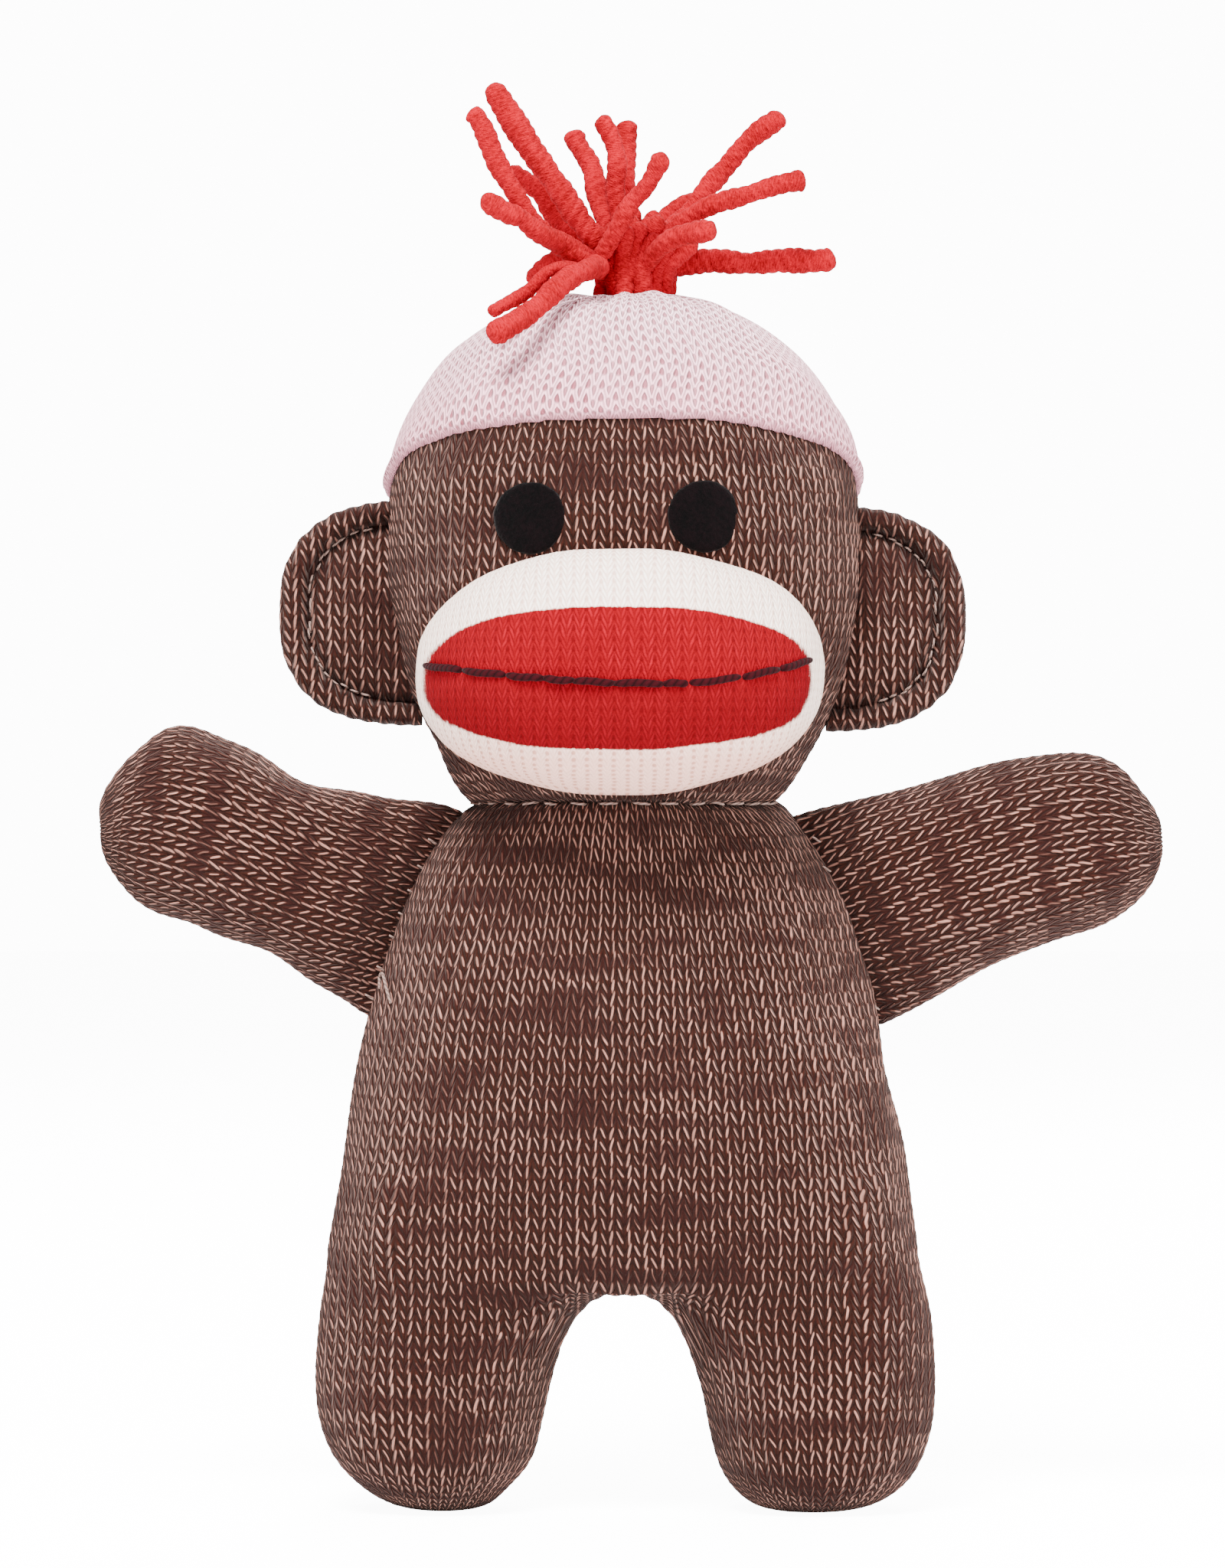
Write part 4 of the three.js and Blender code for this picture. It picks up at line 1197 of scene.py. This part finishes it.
def strand_path(points, radius, seed):
    """A smooth wavering path, and its half thicknesses up to a rounded tip."""
    waves = np.random.default_rng(seed)
    points = np.array(points, float)
    end = points[-1] - points[-2]
    points[-1] += end / np.linalg.norm(end) * TIP_REACH
    length = np.linalg.norm(np.diff(points, axis=0), axis=1).sum()
    count = max(int(length / 0.22), 24)
    t = np.linspace(0, 1, count)
    path = smooth(points, t)
    for _ in range(3):
        direction = waves.normal(size=3)
        wave = np.sin(t[:, None] * length / waves.uniform(1.2, 3.0) + waves.uniform(0, 6))
        path += 0.13 * direction * wave
    swell = 0.94 + 0.06 * np.sin(t * length / 1.9 + seed) + 0.04 * np.sin(t * length / 0.8) + 0.08 * t**4
    from_tip = (1 - t) * length
    tip = np.sqrt(np.clip(1 - (1 - from_tip / (radius * 1.3)).clip(0, 1) ** 2, 0.012, 1))
    return path, radius * swell * tip


def add_pompom(look):
    for number, (radius, points) in enumerate(STRANDS, 1):
        name = "pompom_strand_%02d" % number
        piece = tubes(name + "_yarn", [strand_path(points, radius, number)], 26, plies(3, 0.06, 4.6))
        piece.data.materials.append(look)
        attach(piece, "head")
        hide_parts(name)
    paths = []
    for k in range(ROOT_LOOPS):
        angle = 2.4 * k  # the golden angle spreads them evenly
        spread = 5.3 * math.sqrt((k + 0.5) / ROOT_LOOPS)
        ahead = np.array([math.cos(angle), 0.85 * math.sin(angle), 0])
        foot = POMPOM + ahead * spread * 0.9 + (0, 0, -2.2 - 0.12 * spread)
        belly = POMPOM + ahead * (spread + 0.3) + (0.3, 0, 3)
        rise = 10.4 - 0.8 * spread + 0.8 * math.sin(k * 2.1)
        top = POMPOM + ahead * (spread * 1.3 + 0.5) + (1.5, 0, rise)
        paths.append(strand_path([foot, (foot + belly) / 2, belly, top], 1.45, 40 + k))
    piece = tubes("pompom_roots", paths, 24, plies(3, 0.06, 4.6))
    piece.data.materials.append(look)
    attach(piece, "head")
    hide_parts("pompom_tie")


# ---------------------------------------------------------------- stitching

def add_neck_stitches(look):
    """Running stitches that gather the neck, on the seam between body and head."""
    paths = []
    count = 34
    for k in range(count):
        angle = 2 * math.pi * (k + rng.uniform(-0.12, 0.12)) / count
        span = rng.uniform(0.045, 0.07)
        turn = np.linspace(angle - span, angle + span, 7)
        bow = 1 - np.abs(np.linspace(-1, 1, 7)) ** 3
        x = (NECK_HALF[0] - NECK_SINK * (1 - bow)) * rounded(np.cos(turn), NECK_POWER)
        y = (NECK_HALF[1] - NECK_SINK * (1 - bow)) * rounded(np.sin(turn), NECK_POWER)
        z = NECK_Z + rng.uniform(-0.25, 0.25) * np.linspace(-1, 1, 7)
        paths.append((np.stack([x, y, z], axis=1), np.full(7, 0.19)))
    finish_stitches("neck_stitches", paths, look, "torso", "neck_stitching")


def add_loose_thread(look):
    """A fuzzy end of sewing thread that sticks out of the right shoulder's seam."""
    places = [(-34.9, 75), (-35, 76.4), (-34.5, 76.9), (-33.9, 75), (-33.2, 72.9)]
    points = [(x, front_y(TORSO, x, z) - 0.15, z) for x, z in places]
    path = smooth(points, np.linspace(0, 1, 26))
    paths = [(path, np.linspace(0.27, 0.2, 26))]
    finish_stitches("right_shoulder_thread_end", paths, look, "right_arm", None)


def finish_stitches(name, paths, look, body, node):
    piece = tubes(name, paths, 8, plies(2, 0.12, 0.9))
    piece.data.materials.append(look)
    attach(piece, body)
    if node:
        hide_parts(node)


def add_ear_stitches(side, look):
    """Small sunk stitches round the ear, in front and behind."""
    paths = []
    for face in (-1, 1):
        for k in range(20):
            angle = math.radians(-66 + 132 * (k + 0.3 * rng.uniform(-1, 1)) / 19)
            turn = angle + np.linspace(-0.045, 0.045, 6)
            x, z = ear_point(side, EAR_SEAM + rng.uniform(-0.012, 0.012), turn)
            bow = 1 - np.abs(np.linspace(-1, 1, 6)) ** 2
            y = face * (0.55 + 0.45 * bow) - 0.5
            paths.append((np.stack([x, y, z], axis=1), np.full(6, 0.16)))
    finish_stitches(side + "_ear_stitches", paths, look, side + "_ear", side + "_ear_topstitch")


def add_shoulder_stitches(side, look):
    """A few stitches that close the arm's sewn edge against the trunk."""
    top, bottom = SHOULDERS[side]
    paths = []
    for k in range(7):
        t = (k + 0.5 + rng.uniform(-0.2, 0.2)) / 7
        middle = np.array(top) * (1 - t) + np.array(bottom) * t
        for face in (-1, 1):
            a = np.array([middle[0] - 0.6, face * 4.0, middle[1]])
            b = np.array([middle[0] + 0.6, face * 3.4, middle[1] - 0.8])
            paths.append((np.linspace(a, b, 5), np.full(5, 0.14)))
    finish_stitches(side + "_shoulder_stitches", paths, look, side + "_arm", side + "_shoulder_stitching")


# ---------------------------------------------------------------- the whole toy

def add_floor(look):
    corners = [(-FLOOR_HALF, -FLOOR_HALF, 0), (FLOOR_HALF, -FLOOR_HALF, 0), (FLOOR_HALF, FLOOR_HALF, 0),
               (-FLOOR_HALF, FLOOR_HALF, 0)]
    floor = new_mesh("floor", np.array(corners), [[0, 1, 2, 3]])
    floor.data.materials.append(look)


def build():
    add_camera()
    add_studio()
    marl = marl_knit()
    red = wool("red_yarn", (158, 2, 30), (104, 0, 13))
    thread = sewing_thread("grey_thread", (134, 110, 102), (78, 62, 56))
    add_floor(floor_finish())
    add_body(marl)
    add_head(marl)
    add_arm("left", LEFT_ARM, marl, 21)
    add_arm("right", swapped(RIGHT_ARM), marl, 22)
    # knit for the ears, with painted shade along the quilting groove
    groove_shaded = marl_knit("groove_shaded_marl_knit", groove_shaded=True)
    for side in EARS:
        add_ear(side, groove_shaded)
    add_muzzle(muzzle_knit())
    add_mouth(sewing_thread("brown_yarn", (44, 12, 17), (24, 5, 9)))
    black = felt()
    for name in EYES:
        add_eye(name, black)
    add_hat(cap_knit())
    add_pompom(red)
    add_neck_stitches(thread)
    add_loose_thread(thread)
    for side in EARS:
        add_ear_stitches(side, thread)
    for side in SHOULDERS:
        add_shoulder_stitches(side, thread)


build()
bpy.context.view_layer.update()
